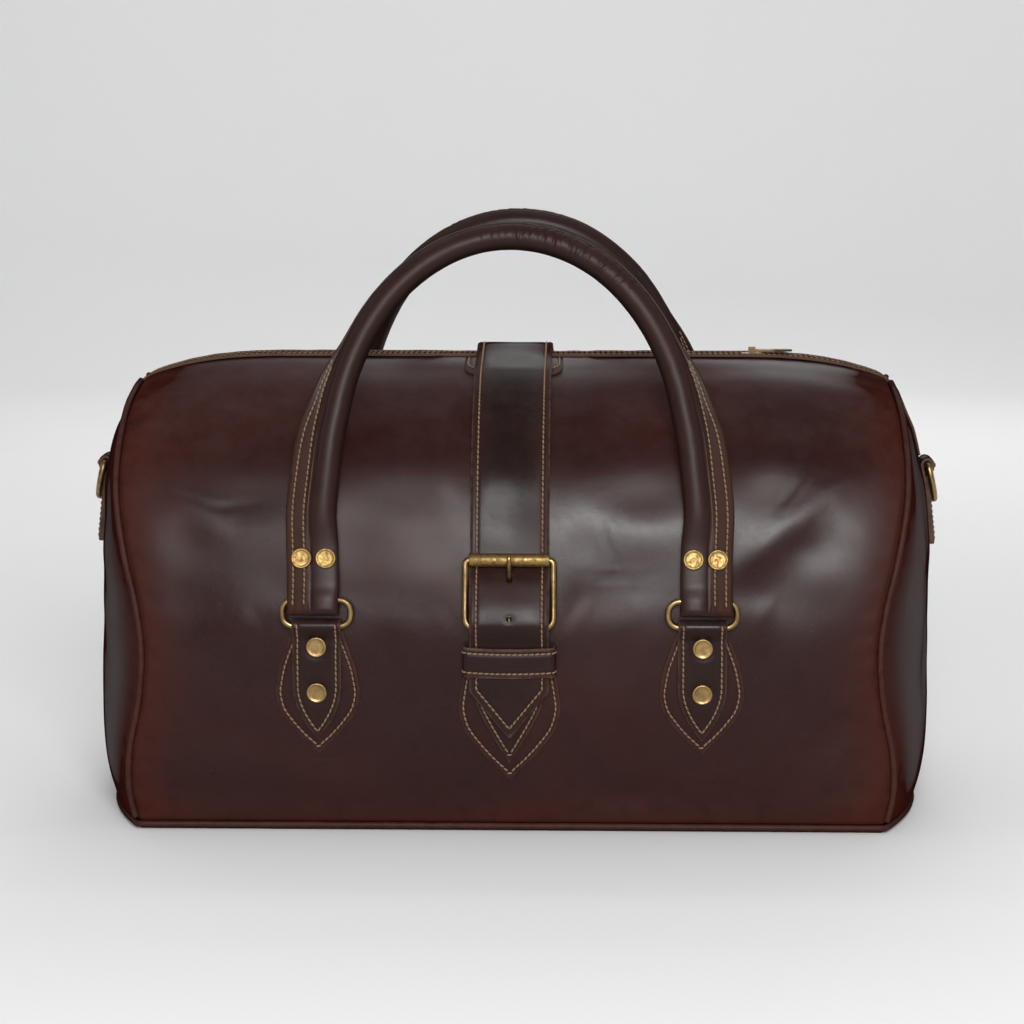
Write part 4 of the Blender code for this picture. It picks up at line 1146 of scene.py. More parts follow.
class Finishes:
    """Every finish of the bag, built once."""

    def __init__(self) -> None:
        """Build the materials."""
        effects = Effects()
        self.body = HideFinish("Pull-up hide", (0.0185, 0.0052, 0.0044), (0.0410, 0.0090, 0.0060),
                               (0.0090, 0.0032, 0.0028),
                               worn=(0.062, 0.026, 0.019)).build(effects)
        self.handle = HideFinish("Handle hide", (0.0185, 0.0066, 0.0052), (0.0380, 0.0145, 0.0080),
                                 (0.0075, 0.0032, 0.0028), roughness=0.37, pebbles=1600.0,
                                 warmth=0.2).build(effects)
        self.belt = HideFinish("Belt hide", (0.0150, 0.0062, 0.0054), (0.0340, 0.0110, 0.0075),
                               (0.0085, 0.0038, 0.0034), roughness=0.26, warmth=0.2,
                               pebbles=1600.0, gloss=1.25).build(effects)
        self.edge = CutEdgeFinish("Cut leather edge", (0.085, 0.036, 0.017),
                                  (0.026, 0.0100, 0.0060)).build(effects)
        self.binding = HideFinish("Binding hide", (0.074, 0.036, 0.0210), (0.110, 0.056, 0.032),
                                  (0.0075, 0.0042, 0.0034), roughness=0.6, warmth=0.45,
                                  depth=0.08 * MM, gloss=1.15).build(effects)
        self.brass = BrassFinish("Antique brass", (0.320, 0.208, 0.085),
                                 (0.075, 0.046, 0.022), tarnish=0.7).build(effects)
        self.dark_brass = BrassFinish("Dark brass", (0.130, 0.086, 0.040), (0.034, 0.023, 0.013),
                                      tarnish=0.8, roughness=0.4).build(effects)
        self.cap = BrassFinish("Bright brass cap", (0.290, 0.190, 0.068), (0.120, 0.075, 0.028),
                               tarnish=0.9, roughness=0.40, clouds=420.0).build(effects)
        self.thread = ThreadFinish("Waxed thread", (0.320, 0.205, 0.115),
                                   (0.150, 0.088, 0.044)).build(effects)
        self.tape = WeaveFinish("Zip tape weave", (0.018, 0.013, 0.010),
                                (0.007, 0.0055, 0.0048)).build(effects)
        self.board = CutEdgeFinish("Base board", (0.110, 0.085, 0.055),
                                   (0.070, 0.052, 0.035)).build(effects)
        self.lining = HideFinish("Flesh side", (0.080, 0.042, 0.026), (0.110, 0.060, 0.036),
                                 (0.045, 0.022, 0.014), roughness=0.8, scratched=0.0,
                                 gloss=1.15).build(effects)


# Pieces


@dataclass(frozen=True)
class Part:
    """Where a finished object belongs.

    Attributes:
        body: The frame's body that it rides on.
        slot: The record's material slot; not used.
        node: The frame's node that it stands for, if it stands for one.
    """

    body: str
    slot: str
    node: str = ""

    def take(self, item: Object) -> Object:
        """Hang an object on its body, hide the frame's node that it stands for, and report it.

        Args:
            item: The object.

        Returns:
            The same object.
        """
        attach(item, self.body)
        if self.node:
            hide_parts(self.node)
        log.info("%s on %s, %d faces", item.name, self.body, len(item.data.polygons))
        return item


def keep_solid(node: str, finish: Material) -> None:
    """Dress a solid of the frame that stays in view, and report it.

    Args:
        node: The solid's node.
        finish: Its finish.
    """
    materials = bpy.data.objects[node].data.materials
    materials.clear()
    materials.append(finish)
    log.info("%s keeps the frame's solid", node)


@dataclass(frozen=True)
class Stitching:
    """Rows of thread.

    Attributes:
        pitch: From one stitch to the next.
        length: The length of a stitch that shows.
        radius: The thread's radius.
        thinning: How much thinner a stitch's ends are, as a share.
        lift_share: How far the thread's middle stands up, as a share of its radius.
        sink: How deep a stitch's ends go in.
        slant: How far a stitch turns from its row, in radians.
        rings: Sections of a stitch.
        sides: Sides of the thread.
    """

    pitch: float = 3.2 * MM
    length: float = 2.6 * MM
    radius: float = 0.52 * MM
    thinning: float = 0.35
    lift_share: float = 0.55
    sink: float = 0.5 * MM
    slant: float = 0.10
    rings: int = 7
    sides: int = 6

    def sew(self, kit: MeshKit, line: Array, out: Array) -> None:
        """Sew a row.

        Args:
            kit: The mesh to add the stitches to.
            line: Points of the row on the leather's surface.
            out: The surface's outward normals at those points.
        """
        along = lengths(line)
        count = max(int(along[-1] / self.pitch), 1)
        starts = (along[-1] - count * self.pitch) / 2 + self.pitch * (np.arange(count) + 0.5)
        u = np.linspace(-1, 1, self.rings)
        twist = (np.repeat(u * self.length / 2, self.sides) / self.length
                 + np.tile(np.arange(self.sides), self.rings) / self.sides)
        for at in starts:
            middle, ahead, behind = between(at + np.array([0, MM / 2, -MM / 2]), along, line)
            normal, run = unit(between(at, along, out)), unit(ahead - behind)
            run = run * math.cos(self.slant) + np.cross(normal, run) * math.sin(self.slant)
            lift = self.radius * self.lift_share - self.sink * u**4
            path = middle + run * (u * self.length / 2)[:, None] + normal * lift[:, None]
            radii = self.radius * (1 - self.thinning * u**4)
            kit.add(*tube(path, radii, self.sides, out=normal), twist=twist)


class Workshop:
    """What every sub-assembly needs: the finishes, the stitching and the making of leather."""

    def __init__(self) -> None:
        """Build the finishes once."""
        self.finishes = Finishes()
        self.stitching = Stitching()

    def sewn(self, name: str, rows: Sequence[tuple[Array, Array]], body: str = "bag") -> Object:
        """Make one object of several rows of stitches.

        Args:
            name: The object's name.
            rows: Each row's points on the leather, and the outward normals there.
            body: The frame's body that it rides on.

        Returns:
            The object.
        """
        kit = MeshKit()
        for line, out in rows:
            self.stitching.sew(kit, line, out)
        return Part(body, "edge_leather").take(kit.object(name, self.finishes.thread))

    def slab(self, name: str, finish: Material, grids: Sequence[Array], flip: bool = False,
             **values: Array) -> Object:
        """Make a piece of leather of two grids of points, its cut edge in a finish of its own.

        Args:
            name: The object's name.
            finish: The leather's finish.
            grids: The points of the outer face, and those of the inner face.
            flip: Whether the grids run the other way round.
            values: Named values of one face's points, for the finish to read.

        Returns:
            The object.
        """
        shape = grids[0].shape[:2]
        sides, edge = slab_faces(*shape, flip)
        both = {label: np.tile(np.broadcast_to(value, shape).ravel(), 2)
                for label, value in values.items()}
        kit = MeshKit()
        kit.add(np.concatenate([grid.reshape(-1, 3) for grid in grids]), sides, **both)
        kit.faces += edge
        kit.slots += [1] * len(edge)
        return kit.object(name, finish, self.finishes.edge, closed=True)


# The body


@dataclass
class BodyLeather:
    """The leather panels, their pipings, the base and the base board.

    Attributes:
        pitch: The size of the panels' quads.
        margin: The gap between a panel's edge and its seam.
        tuck: How far a panel's edge goes in at a seam, over tuck_width.
        sag: The depth of the broad dents.
        dent: The depth of the smaller ones.
        pucker: The depth of the puckers beside a seam, pucker_away from it.
        piping_top: The girth at which a seam piping ends.
        end_top: The girth at which an end panel ends.
        girth: The front's girth from the base to the mouth.
        panel_reach: How much closer together a panel's columns lie at its ends.
        slit_columns: Columns of an end panel that its slit takes out.
        foot_pitch: Half the length of a pucker along the base.
        broad_crease: The width in millimetres from which a crease gets no painted shade.
        fitting_spots: What covers both faces: the middle and half the size, in millimetres.
        front_creases: The front's creases: points, depth and width, in millimetres.
        back_creases: The same for the back.
    """

    shop: Workshop
    pitch: float = 2.0 * MM
    leather: float = 1.9 * MM
    margin: float = 0.9 * MM
    tuck: float = 1.5 * MM
    tuck_width: float = 3.4 * MM
    sag: float = 1.5 * MM
    dent: float = 0.35 * MM
    pucker: float = 0.22 * MM
    piping_radius: float = 1.8 * MM
    piping_top: float = 0.975
    end_top: float = 0.965
    mouth_half: float = 12 * MM
    slit_height: float = 208 * MM
    base_thickness: float = 2.4 * MM
    girth: float = 290 * MM
    panel_reach: float = 0.62
    slit_columns: int = 8
    pucker_away: float = 5 * MM
    pucker_width: float = 4.5 * MM
    pucker_pitch: float = 6.5 * MM
    foot_pitch: float = 7.5 * MM
    broad_crease: float = 3
    fitting_spots: tuple = ((109.5, 82, 30, 40), (-109.5, 82, 30, 40))
    front_creases: tuple = (
        (((51, 183), (57, 166), (66, 148)), 0.30, 1.4),
        (((36, 152), (58, 150.5), (84, 152)), 0.22, 1.3),
        (((121, 150), (150, 171), (178, 196), (204, 214)), -0.8, 9.0),
        (((150, 186), (166, 205), (176, 226)), 0.25, 1.6),
        (((-206, 212), (-180, 190), (-160, 168)), -0.7, 9.0),
        (((-196, 196), (-168, 188), (-140, 190)), 0.20, 1.8),
        (((-150, 60), (-110, 36), (-60, 30)), -0.5, 8.0),
        (((205, 60), (188, 46), (176, 26)), -0.5, 6.0),
    )
    back_creases: tuple = (
        (((-60, 190), (-48, 168), (-44, 148)), 0.28, 1.4),
        (((-40, 140), (-62, 146), (-88, 143)), 0.22, 1.3),
        (((130, 160), (158, 180), (192, 208)), -0.8, 9.0),
        (((-206, 208), (-176, 186), (-150, 172)), -0.7, 9.0),
        (((20, 80), (48, 70), (70, 74)), 0.25, 2.0),
        (((-150, 40), (-120, 52), (-80, 50)), -0.5, 8.0),
    )

    @property
    def creases(self) -> dict[Face, tuple]:
        """The creases of each face."""
        return {Face.FRONT: self.front_creases, Face.BACK: self.back_creases}

    @property
    def seeds(self) -> dict[Face, int]:
        """The seed of each face's dents."""
        return {Face.FRONT: 11, Face.BACK: 29}

    @property
    def belt_spots(self) -> dict[Face, tuple]:
        """What the belt's pieces cover on each face."""
        return {Face.FRONT: ((0, 72, 34, 46), (0, 200, 28, 110)), Face.BACK: ((0, 240, 28, 44),)}

    def build(self) -> None:
        """Make every piece of the body."""
        for face in Face:
            self.panel(face)
        for side in Side:
            self.end_panel(side)
            for face in Face:
                self.seam_piping(side, face)
        self.base()

    def bare(self, x: Array, z: Array, face: Face) -> Array:
        """Where nothing lies on the leather.

        Args:
            x: Places along the panel.
            z: Their heights.
            face: The front or the back.

        Returns:
            1 on bare leather, and 0 under the sewn pieces.
        """
        cover = np.zeros(np.broadcast(x, z).shape)
        for spot in self.fitting_spots + self.belt_spots[face]:
            at_x, at_z, half_x, half_z = (length * MM for length in spot)
            over = np.maximum(np.abs(x - at_x) / half_x, np.abs(z - at_z) / half_z)
            cover = np.maximum(cover, 1 - smooth_step(0.86, 1.5, over))
        return 1 - cover

    def relief(self, x: Array, z: Array, face: Face) -> tuple[Array, Array]:
        """The leather's dents and creases.

        Args:
            x: Places along the panel.
            z: Their heights.
            face: The front or the back.

        Returns:
            How far the leather stands out there, and how creased it is, from 0 to 1.
        """
        seed = self.seeds[face]
        broad = ripple(x, z, 110 * MM, seed) * self.sag * 0.6 - self.sag * 0.2
        small = ripple(x * 0.6, z, 34 * MM, seed + 1) * self.dent
        depth, painted_crease_shade = broad + small, np.zeros(x.shape)
        wander = ripple(x, z, 16 * MM, seed + 2) * 0.8 * MM
        for points, sunk, wide in self.creases[face]:
            width = wide * MM
            away, share = line_distance(x, z + wander, np.array(points) * MM)
            fade = np.sin(math.pi * np.clip(share, 0.02, 0.98)) ** 0.6
            groove = bell(away, width) * fade
            ridge = bell(away - 2.2 * width, 1.3 * width) * fade
            depth = depth - (groove - 0.4 * ridge) * sunk * MM
            # Narrow creases get painted shade: their grooves darken the colour.
            if wide < self.broad_crease:
                painted_crease_shade = np.maximum(painted_crease_shade, groove * 0.55)
        return depth * self.bare(x, z, face), painted_crease_shade

    def puckers(self, run: Array, away: Array, pitch: float, uneven: Array) -> Array:
        """Small ripples beside a seam.

        Args:
            run: Distances along the seam.
            away: Distances from it.
            pitch: Half the length of one ripple.
            uneven: Noise that makes them uneven.

        Returns:
            How far the leather stands out there.
        """
        wave = np.sin(run / pitch * math.pi + uneven * 2) * self.pucker
        return wave * bell(away - self.pucker_away, self.pucker_width)

    def tucked(self, seam_away: Array, foot_away: Array) -> Array:
        """How far a panel's edge goes in at its seams."""
        return sum(self.tuck * (1 - smooth_step(0, self.tuck_width, away))
                   for away in (seam_away, foot_away))

    def panel(self, face: Face) -> None:
        """Make the front or the back panel.

        Args:
            face: Which of the two.
        """
        columns, rows = int(456 * MM / self.pitch), int(300 * MM / self.pitch)
        first = float(BODY.girth_at(0.0, BODY.seam_height + self.margin))
        girth = column(np.linspace(first, 1, rows), columns)
        half = BODY.seam_half(BODY.height_share(girth)) - self.margin
        x = half * spread(columns, self.panel_reach)
        at, out = BODY.skin(x, girth), BODY.normal(x, girth)
        seam_away, foot_away = half - np.abs(x), at[..., 2] - BODY.seam_height
        depth, painted_crease_shade = self.relief(x, at[..., 2], face)
        depth *= smooth_step(2 * MM, 26 * MM, seam_away) * smooth_step(2 * MM, 20 * MM, foot_away)
        depth *= smooth_step(0, 30 * MM, (1 - girth) * self.girth)
        depth += self.puckers(girth * self.girth, seam_away, self.pucker_pitch,
                              ripple(x, girth, 0.3, 5))
        depth += self.puckers(x, foot_away, self.foot_pitch, ripple(x, girth, 0.3, 6))
        depth -= self.tucked(seam_away, foot_away)
        warm = 0.75 * bell(seam_away, 20 * MM) + 0.55 * bell(foot_away, 16 * MM)
        top = smooth_step(0.45, 0.75, girth) * (1 - smooth_step(0.86, 0.97, girth))
        warm += 0.45 * top * (0.6 + 0.6 * ripple(x, at[..., 2], 120 * MM, 17))
        faces = grid_faces(rows, columns)
        item = make(f"{face.word}_body_leather",
                    quarter(at + out * depth[..., None], Side.RIGHT, face).reshape(-1, 3),
                    turned(faces) if face is Face.BACK else faces,
                    self.shop.finishes.body, self.shop.finishes.lining, closed=False,
                    warm=np.clip(warm, 0, 1).ravel(), crease=painted_crease_shade.ravel(),
                    edge=0.6 * bell(seam_away, 2 * MM).ravel())
        self.thicken(item)
        Part("bag", "leather", f"{face.word}_panel").take(item)

    def thicken(self, item: Object) -> None:
        """Give a panel the leather's thickness, with its flesh side inward.

        Args:
            item: The panel's outer surface.
        """
        solid = item.modifiers.new("Leather thickness", "SOLIDIFY")
        solid.thickness = self.leather
        solid.offset = -1
        solid.material_offset = 1

    def end_panel(self, side: Side) -> None:
        """Make an end panel: a bulging arch, slit at the top for the mouth.

        Args:
            side: Which end.
        """
        rows = int(290 * MM / self.pitch)
        first = float(BODY.seam_girth(BODY.seam_height + self.margin))
        seam = BODY.seam(np.linspace(first, self.end_top, rows))[:, 1:]
        run = unit(np.gradient(seam, axis=0))
        edge_y = seam[:, 0] + run[:, 1] * self.margin
        edge_z = seam[:, 1] - run[:, 0] * self.margin
        outer = np.linspace(0, 1, int(112 * MM / self.pitch)) ** 0.9
        lip = -self.mouth_half + 0.1 * MM
        flank = edge_y[:, None] + (lip - edge_y)[:, None] * outer
        inner = np.linspace(lip, -lip, self.slit_columns + 1)[1:-1] * np.ones((rows, 1))
        y = np.concatenate([flank, inner, -flank[:, ::-1]], axis=1)
        columns = y.shape[1]
        z = column(edge_z, columns)
        grid = np.stack([BODY.end_x(y, column(BODY.seam_girth(edge_z), columns)), y, z], axis=-1)
        slope = np.maximum(np.abs(run[:, 1]), 0.3)[:, None]
        seam_away = (np.abs(edge_y)[:, None] - np.abs(y)) / slope
        foot_away = z - BODY.seam_height
        broad = ripple(y, z, 90 * MM, 41 + side.value) * self.sag * 0.7
        small = ripple(y, z * 0.7, 30 * MM, 43 + side.value) * self.dent
        near = smooth_step(2 * MM, 24 * MM, seam_away) * smooth_step(2 * MM, 20 * MM, foot_away)
        tab = np.maximum(np.abs(y) / (17 * MM), np.abs(z - 182 * MM) / (44 * MM))
        depth = (broad + small) * near * smooth_step(0.9, 1.9, tab)
        depth += self.puckers(z, seam_away, self.pucker_pitch, ripple(y, z, 0.2, 7))
        depth -= self.tucked(seam_away, foot_away)
        grid = (grid + grid_normals(grid) * depth[..., None]) * (side.value, 1, 1)
        slit = range(len(outer) - 1, len(outer) - 1 + self.slit_columns)
        faces = [f for f in grid_faces(rows, columns) if f[0] % columns not in slit
                 or z[f[2] // columns, 0] < self.slit_height]
        warm = 0.7 * bell(seam_away, 18 * MM) + 0.5 * bell(foot_away, 16 * MM)
        item = make(f"{side.word}_end_leather", grid.reshape(-1, 3),
                    turned(faces) if side is Side.LEFT else faces,
                    self.shop.finishes.body, self.shop.finishes.lining, closed=False,
                    warm=np.clip(warm, 0, 1).ravel())
        edit(item.data, drop_loose)
        self.thicken(item)
        Part("bag", "leather", f"{side.word}_end_panel").take(item)

    def seam_piping(self, side: Side, face: Face) -> None:
        """Make the piping of one end seam.

        Args:
            side: Which end.
            face: The front or the back seam of that end.
        """
        first = float(BODY.seam_girth(BODY.seam_height + 2 * self.piping_radius + GAP))
        line = resample(BODY.seam(np.linspace(first, self.piping_top, 240)), 1.5 * MM)
        uneven = 1 + 0.04 * ripple(line[:, 1], line[:, 2], 9 * MM, 3)
        shape = tube(quarter(line, side, face), self.piping_radius * uneven)
        item = make(f"{side.word}_{face.word}_seam_piping", *shape, self.shop.finishes.body,
                    closed=False, warm=0.55, edge=0.45)
        Part("bag", "leather", f"{side.word}_{face.word}_piping").take(item)

    def base_loop(self, inset: float) -> Array:
        """The base's outline from above.

        Args:
            inset: How far inside the base seam it runs.

        Returns:
            Its points, X and Y.
        """
        corner = BODY.seam(np.array([0.0]))[0]
        y = np.linspace(corner[1], -corner[1], 81)
        right = np.column_stack([BODY.end_x(y, np.zeros(81)), y])
        long_x = np.linspace(corner[0], -corner[0], 121)[1:-1]
        back = np.column_stack([long_x, np.full(119, -corner[1])])
        loop = np.concatenate([right, back, right[::-1] * (-1, 1), back[::-1] * (1, -1)])
        return loop * (1 - inset / np.array([BODY.half_length, abs(corner[1])]))

    def base(self) -> None:
        """Make the base piping and the base panel, and dress the board."""
        body = self.shop.finishes.body
        loop = self.base_loop(0)
        line = np.column_stack([loop, np.full(len(loop), BODY.seam_height)])
        shape = tube(line, self.piping_radius, closed=True, out=(0, 0, 1))
        item = make("base_seam_piping", *shape, body, closed=False, warm=0.5, edge=0.5)
        Part("bag", "leather", "base_piping").take(item)
        edge = self.base_loop(2.4 * MM)
        count = len(edge)
        rings = [np.column_stack([edge * (1 - share), np.full(count, 0.5 * MM * smooth_step(
            0.2, 0.8, share))]) for share in (0.0, 0.015, 0.05, 0.2, 0.5, 0.8)]
        start = len(rings) * count
        faces = turned(grid_faces(len(rings), count, False, True))
        faces.append(tuple(start - count + k for k in reversed(range(count))))
        faces += [(k, (k + 1) % count, start + (k + 1) % count, start + k) for k in range(count)]
        faces.append(tuple(start + k for k in range(count)))
        top = np.column_stack([edge, np.full(count, self.base_thickness)])
        item = make("base_leather", np.concatenate([*rings, top]), faces, body, closed=False)
        Part("bag", "leather", "base_panel").take(soften(item, 0.5 * MM))
        keep_solid("base_board", self.shop.finishes.board)


def drop_loose(work: bmesh.types.BMesh) -> None:
    """Take away the points that no face uses."""
    loose = [point for point in work.verts if not point.link_faces]
    bmesh.ops.delete(work, geom=loose, context="VERTS")


# The mouth


@dataclass
class Mouth:
    """The bindings, the zip and its slider.

    Attributes:
        half: Half the mouth's width.
        end_height: Where the mouth ends, down at the tabs.
        corner_fall: How far below the top's ends it leaves the end panel's ridge.
        shoulder_share: Where it reaches the top, as a share of half the bag's length.
        binding_lap: How far a binding laps over the leather of the body, lap_gap above it.
        rise: How far it stands above the leather.
        tape_lap: How far the tape goes under the leather.
        tooth_shape: A tooth from above, as shares of half its width and of the pitch.
        tooth_layers: Share of a tooth's thickness below its top, share of its size there.
        squareness: How round a binding's section is: 1 is an ellipse.
        stitch_inset: From a binding's inner edge to its stitches.
    """

    shop: Workshop
    half: float = 12 * MM
    end_height: float = 207 * MM
    corner_fall: float = 5 * MM
    shoulder_share: float = 0.875
    binding_width: float = 7.2 * MM
    binding_thickness: float = 4.2 * MM
    binding_lap: float = 3.6 * MM
    lap_gap: float = 0.25 * MM
    rise: float = 1.6 * MM
    teeth_width: float = 5 * MM
    teeth_thickness: float = 2.4 * MM
    tape_thickness: float = 0.8 * MM
    tape_lap: float = 2 * MM
    tooth_pitch: float = 3.0 * MM
    tooth_shape: Table = ((-1.0, -0.42), (-0.45, -0.42), (0.10, -0.30), (0.26, -0.42),
                          (0.42, -0.30), (0.42, 0.30), (0.26, 0.42), (0.10, 0.30), (-0.45, 0.42),
                          (-1.0, 0.42))
    tooth_layers: Table = ((0.0, 0.86), (-0.12, 1.0), (-0.88, 1.0), (-1.0, 0.86))
    squareness: float = 0.55
    stitch_inset: float = 1.5 * MM
    pitch: float = 1.5 * MM

    def line(self) -> tuple[Array, Array]:
        """Points and outward normals along the mouth, from the left tab to the right."""
        corner = BODY.height - BODY.end_drop - self.corner_fall
        low = BODY.ridge(np.linspace(self.end_height, corner, 6))
        x = np.linspace(self.shoulder_share * BODY.half_length, BODY.flat_half, 10)
        right = np.concatenate([low, np.column_stack([x, 0 * x, BODY.height - BODY.drop(x)])])
        whole = np.concatenate([right * (-1, 1, 1), right[::-1]])
        points = relax(resample(whole, self.pitch), 3)
        run = unit(np.gradient(points, axis=0))
        return points, np.column_stack([-run[:, 2], 0 * run[:, 1], run[:, 0]])

    def build(self) -> None:
        """Make every piece of the mouth."""
        points, out = self.line()
        for face in Face:
            self.binding(face, points, out)
        low = self.rise - self.binding_thickness - GAP
        self.tape(points, out, low)
        self.teeth(points, out, low + GAP + self.teeth_thickness)
        for name in ("zip_slider", "zip_pull"):
            keep_solid(name, self.shop.finishes.dark_brass)

    def section(self, outer: float, inner: float) -> tuple[Array, Array]:
        """A binding's rounded section.

        Args:
            outer: The depth of its outer edge.
            inner: The depth of its inner edge.

        Returns:
            The depths of its points, and their heights above the leather.
        """
        thick, turns = self.binding_thickness / 2, circle(20)
        across, up = (np.sign(wave) * np.abs(wave) ** self.squareness
                      for wave in (np.cos(turns), np.sin(turns)))
        return across * (outer - inner) / 2 + (outer + inner) / 2, (up - 1) * thick + self.rise

    def binding(self, face: Face, points: Array, out: Array) -> None:
        """Make one binding: folded leather sewn along the mouth, with its stitches.

        Args:
            face: The side of the mouth.
            points: Points along the mouth.
            out: The outward normals there.
        """
        outer = self.half - GAP
        inner = outer - self.binding_width
        deep, high = self.section(outer, inner)
        wave = 0.12 * MM * ripple(points[:, 0], points[:, 2], 15 * MM, 8)
        far = np.abs(points[:, :1])
        lap = self.binding_lap * smooth_step(42 * MM, 50 * MM, far)
        lap = lap * (1 - 0.8 * smooth_step(170 * MM, 235 * MM, far))
        y = deep + lap * smooth_step(inner, outer, deep)
        lift = high + wave[:, None]
        lift = np.where(y > outer + 0.01 * MM, np.maximum(lift, self.lap_gap), lift)
        sewn = inner + self.stitch_inset
        groove = bell(deep - sewn, 0.9 * MM) * 0.35 * MM
        lift = lift - np.where(high > self.rise / 2, groove, 0)
        grid = points[:, None] + out[:, None] * lift[..., None]
        grid[..., 1] = y * face.value
        # Painted shade: the binding's inner part, towards the zip, is darkened as if shaded in the
        # mouth's recess.
        shade = 1 - smooth_step(inner + 1.6 * MM, inner + 3.2 * MM, deep)
        edge = np.where(high > self.rise * 0.6, 0.8, 0.2) * (1 - shade)
        item = make(f"{face.word}_mouth_binding", grid.reshape(-1, 3),
                    capped_faces(len(points), len(deep)), self.shop.finishes.binding,
                    edge=np.tile(edge, len(points)), crease=np.tile(shade, len(points)))
        Part("bag", "edge_leather", f"{face.word}_zip_binding").take(item)
        row = points + out * (self.rise - 0.70 * MM)
        row[:, 1] = sewn * face.value
        self.shop.sewn(f"{face.word}_binding_stitches", [(row[3:-3], out[3:-3])])

    def tape(self, points: Array, out: Array, top: float) -> None:
        """Make the woven tape.

        Args:
            points: Points along the mouth.
            out: The outward normals there.
            top: The height of its upper face above the leather.
        """
        half = self.half + self.tape_lap
        grid = np.repeat(points[:, None], 15, axis=1)
        grid[..., 1] = np.linspace(-half, half, 15)
        verts = [(grid + out[:, None] * level).reshape(-1, 3)
                 for level in (top, top - self.tape_thickness)]
        sides, edge = slab_faces(len(points), 15, False)
        item = make("zip_woven_tape", np.concatenate(verts), sides + edge,
                    self.shop.finishes.tape)
        Part("bag", "zip_tape", "zip_tape").take(item)

    def teeth(self, points: Array, out: Array, top: float) -> None:
        """Make the zip's teeth: two meshing rows.

        Args:
            points: Points along the mouth.
            out: The outward normals there.
            top: The height of their upper faces above the leather.
        """
        kit = MeshKit()
        line = resample(points, self.tooth_pitch / 2)
        ends = np.linspace(0, 1, len(line)), np.linspace(0, 1, len(points))
        normals, runs = unit(between(*ends, out)), unit(np.gradient(line, axis=0))
        a, b = np.array(self.tooth_shape).T[..., None]
        for k, (at, normal, run) in enumerate(zip(line, normals, runs)):
            inward = np.array([0.0, 1.0 if k % 2 else -1.0, 0.0])
            tooth = run * b * self.tooth_pitch * 0.85 - inward * a * self.teeth_width / 2
            layers = [at + normal * (top + level * self.teeth_thickness) + tooth * inset
                      for level, inset in self.tooth_layers]
            kit.add(np.concatenate(layers), capped_faces(len(layers), len(a)))
        item = kit.object("zip_brass_teeth", self.shop.finishes.brass, flat=True, closed=True)
        Part("bag", "brass", "zip_teeth").take(item)


# Straps and patches

OUTLINE_PITCH = 0.7 * MM
GROOVE = 0.9 * MM
THREAD_SINK = 0.28 * MM


def inset_line(outline: Array, distance: float, inward: int = 1) -> Array:
    """Move an open outline inward, leaving out what comes too near another stretch of it.

    Args:
        outline: Its points in the plane.
        distance: How far it moves.
        inward: 1 if the inside is on the left of the line's run, -1 on the right.

    Returns:
        The moved points.
    """
    run = unit(np.gradient(outline, axis=0))
    moved = outline + np.column_stack([-run[:, 1], run[:, 0]]) * distance * inward
    away, _ = line_distance(moved[:, 0], moved[:, 1], outline)
    return moved[away > distance * 0.985]


class Lay:
    """A surface that leather is laid on: here the front of the body."""

    axis = np.array([1.0, 0.0, 0.0])

    def at(self, across: Array, height: Array, away: Array) -> Array:
        """Points at a distance from the surface."""
        return BODY.stand_off(across, height, away)

    def out(self, across: Array, height: Array) -> Array:
        """The surface's outward normals."""
        return BODY.out_at(across, height)

    def rise(self, out: Array) -> Array:
        """The direction along the surface in which the height rises."""
        rise = np.cross(out, self.axis)
        return rise * np.sign(rise[2])


class EndLay(Lay):
    """The ridge of the right end panel: across runs along Y."""

    axis = np.array([0.0, 1.0, 0.0])

    def at(self, across: Array, height: Array, away: Array) -> Array:
        """Find points at a distance from the ridge.

        Args:
            across: Places across the bag.
            height: Their heights.
            away: How far out they stand.

        Returns:
            The points.
        """
        across, height = np.broadcast_arrays(across, height)
        out = BODY.ridge_out(height) * np.asarray(away)[..., None]
        points = BODY.ridge(height) + out
        points[..., 1] = across
        return points

    def out(self, across: Array, height: Array) -> Array:
        """The ridge's outward normals."""
        return BODY.ridge_out(np.broadcast_arrays(across, height)[1])


@dataclass(frozen=True)
class Place:
    """A quarter of the bag: what is built on the right front is taken there."""

    side: Side
    face: Face

    def move(self, points: Array) -> Array:
        """Take points there."""
        return quarter(points, self.side, self.face)

    @property
    def mirrored(self) -> bool:
        """Whether faces have to be turned over there."""
        return self.side.value * -self.face.value < 0

    @property
    def label(self) -> str:
        """The quarter's name as the nodes spell it."""
        return f"{self.face.word}_{self.side.word}"


FRONT_MIDDLE = Place(Side.RIGHT, Face.FRONT)


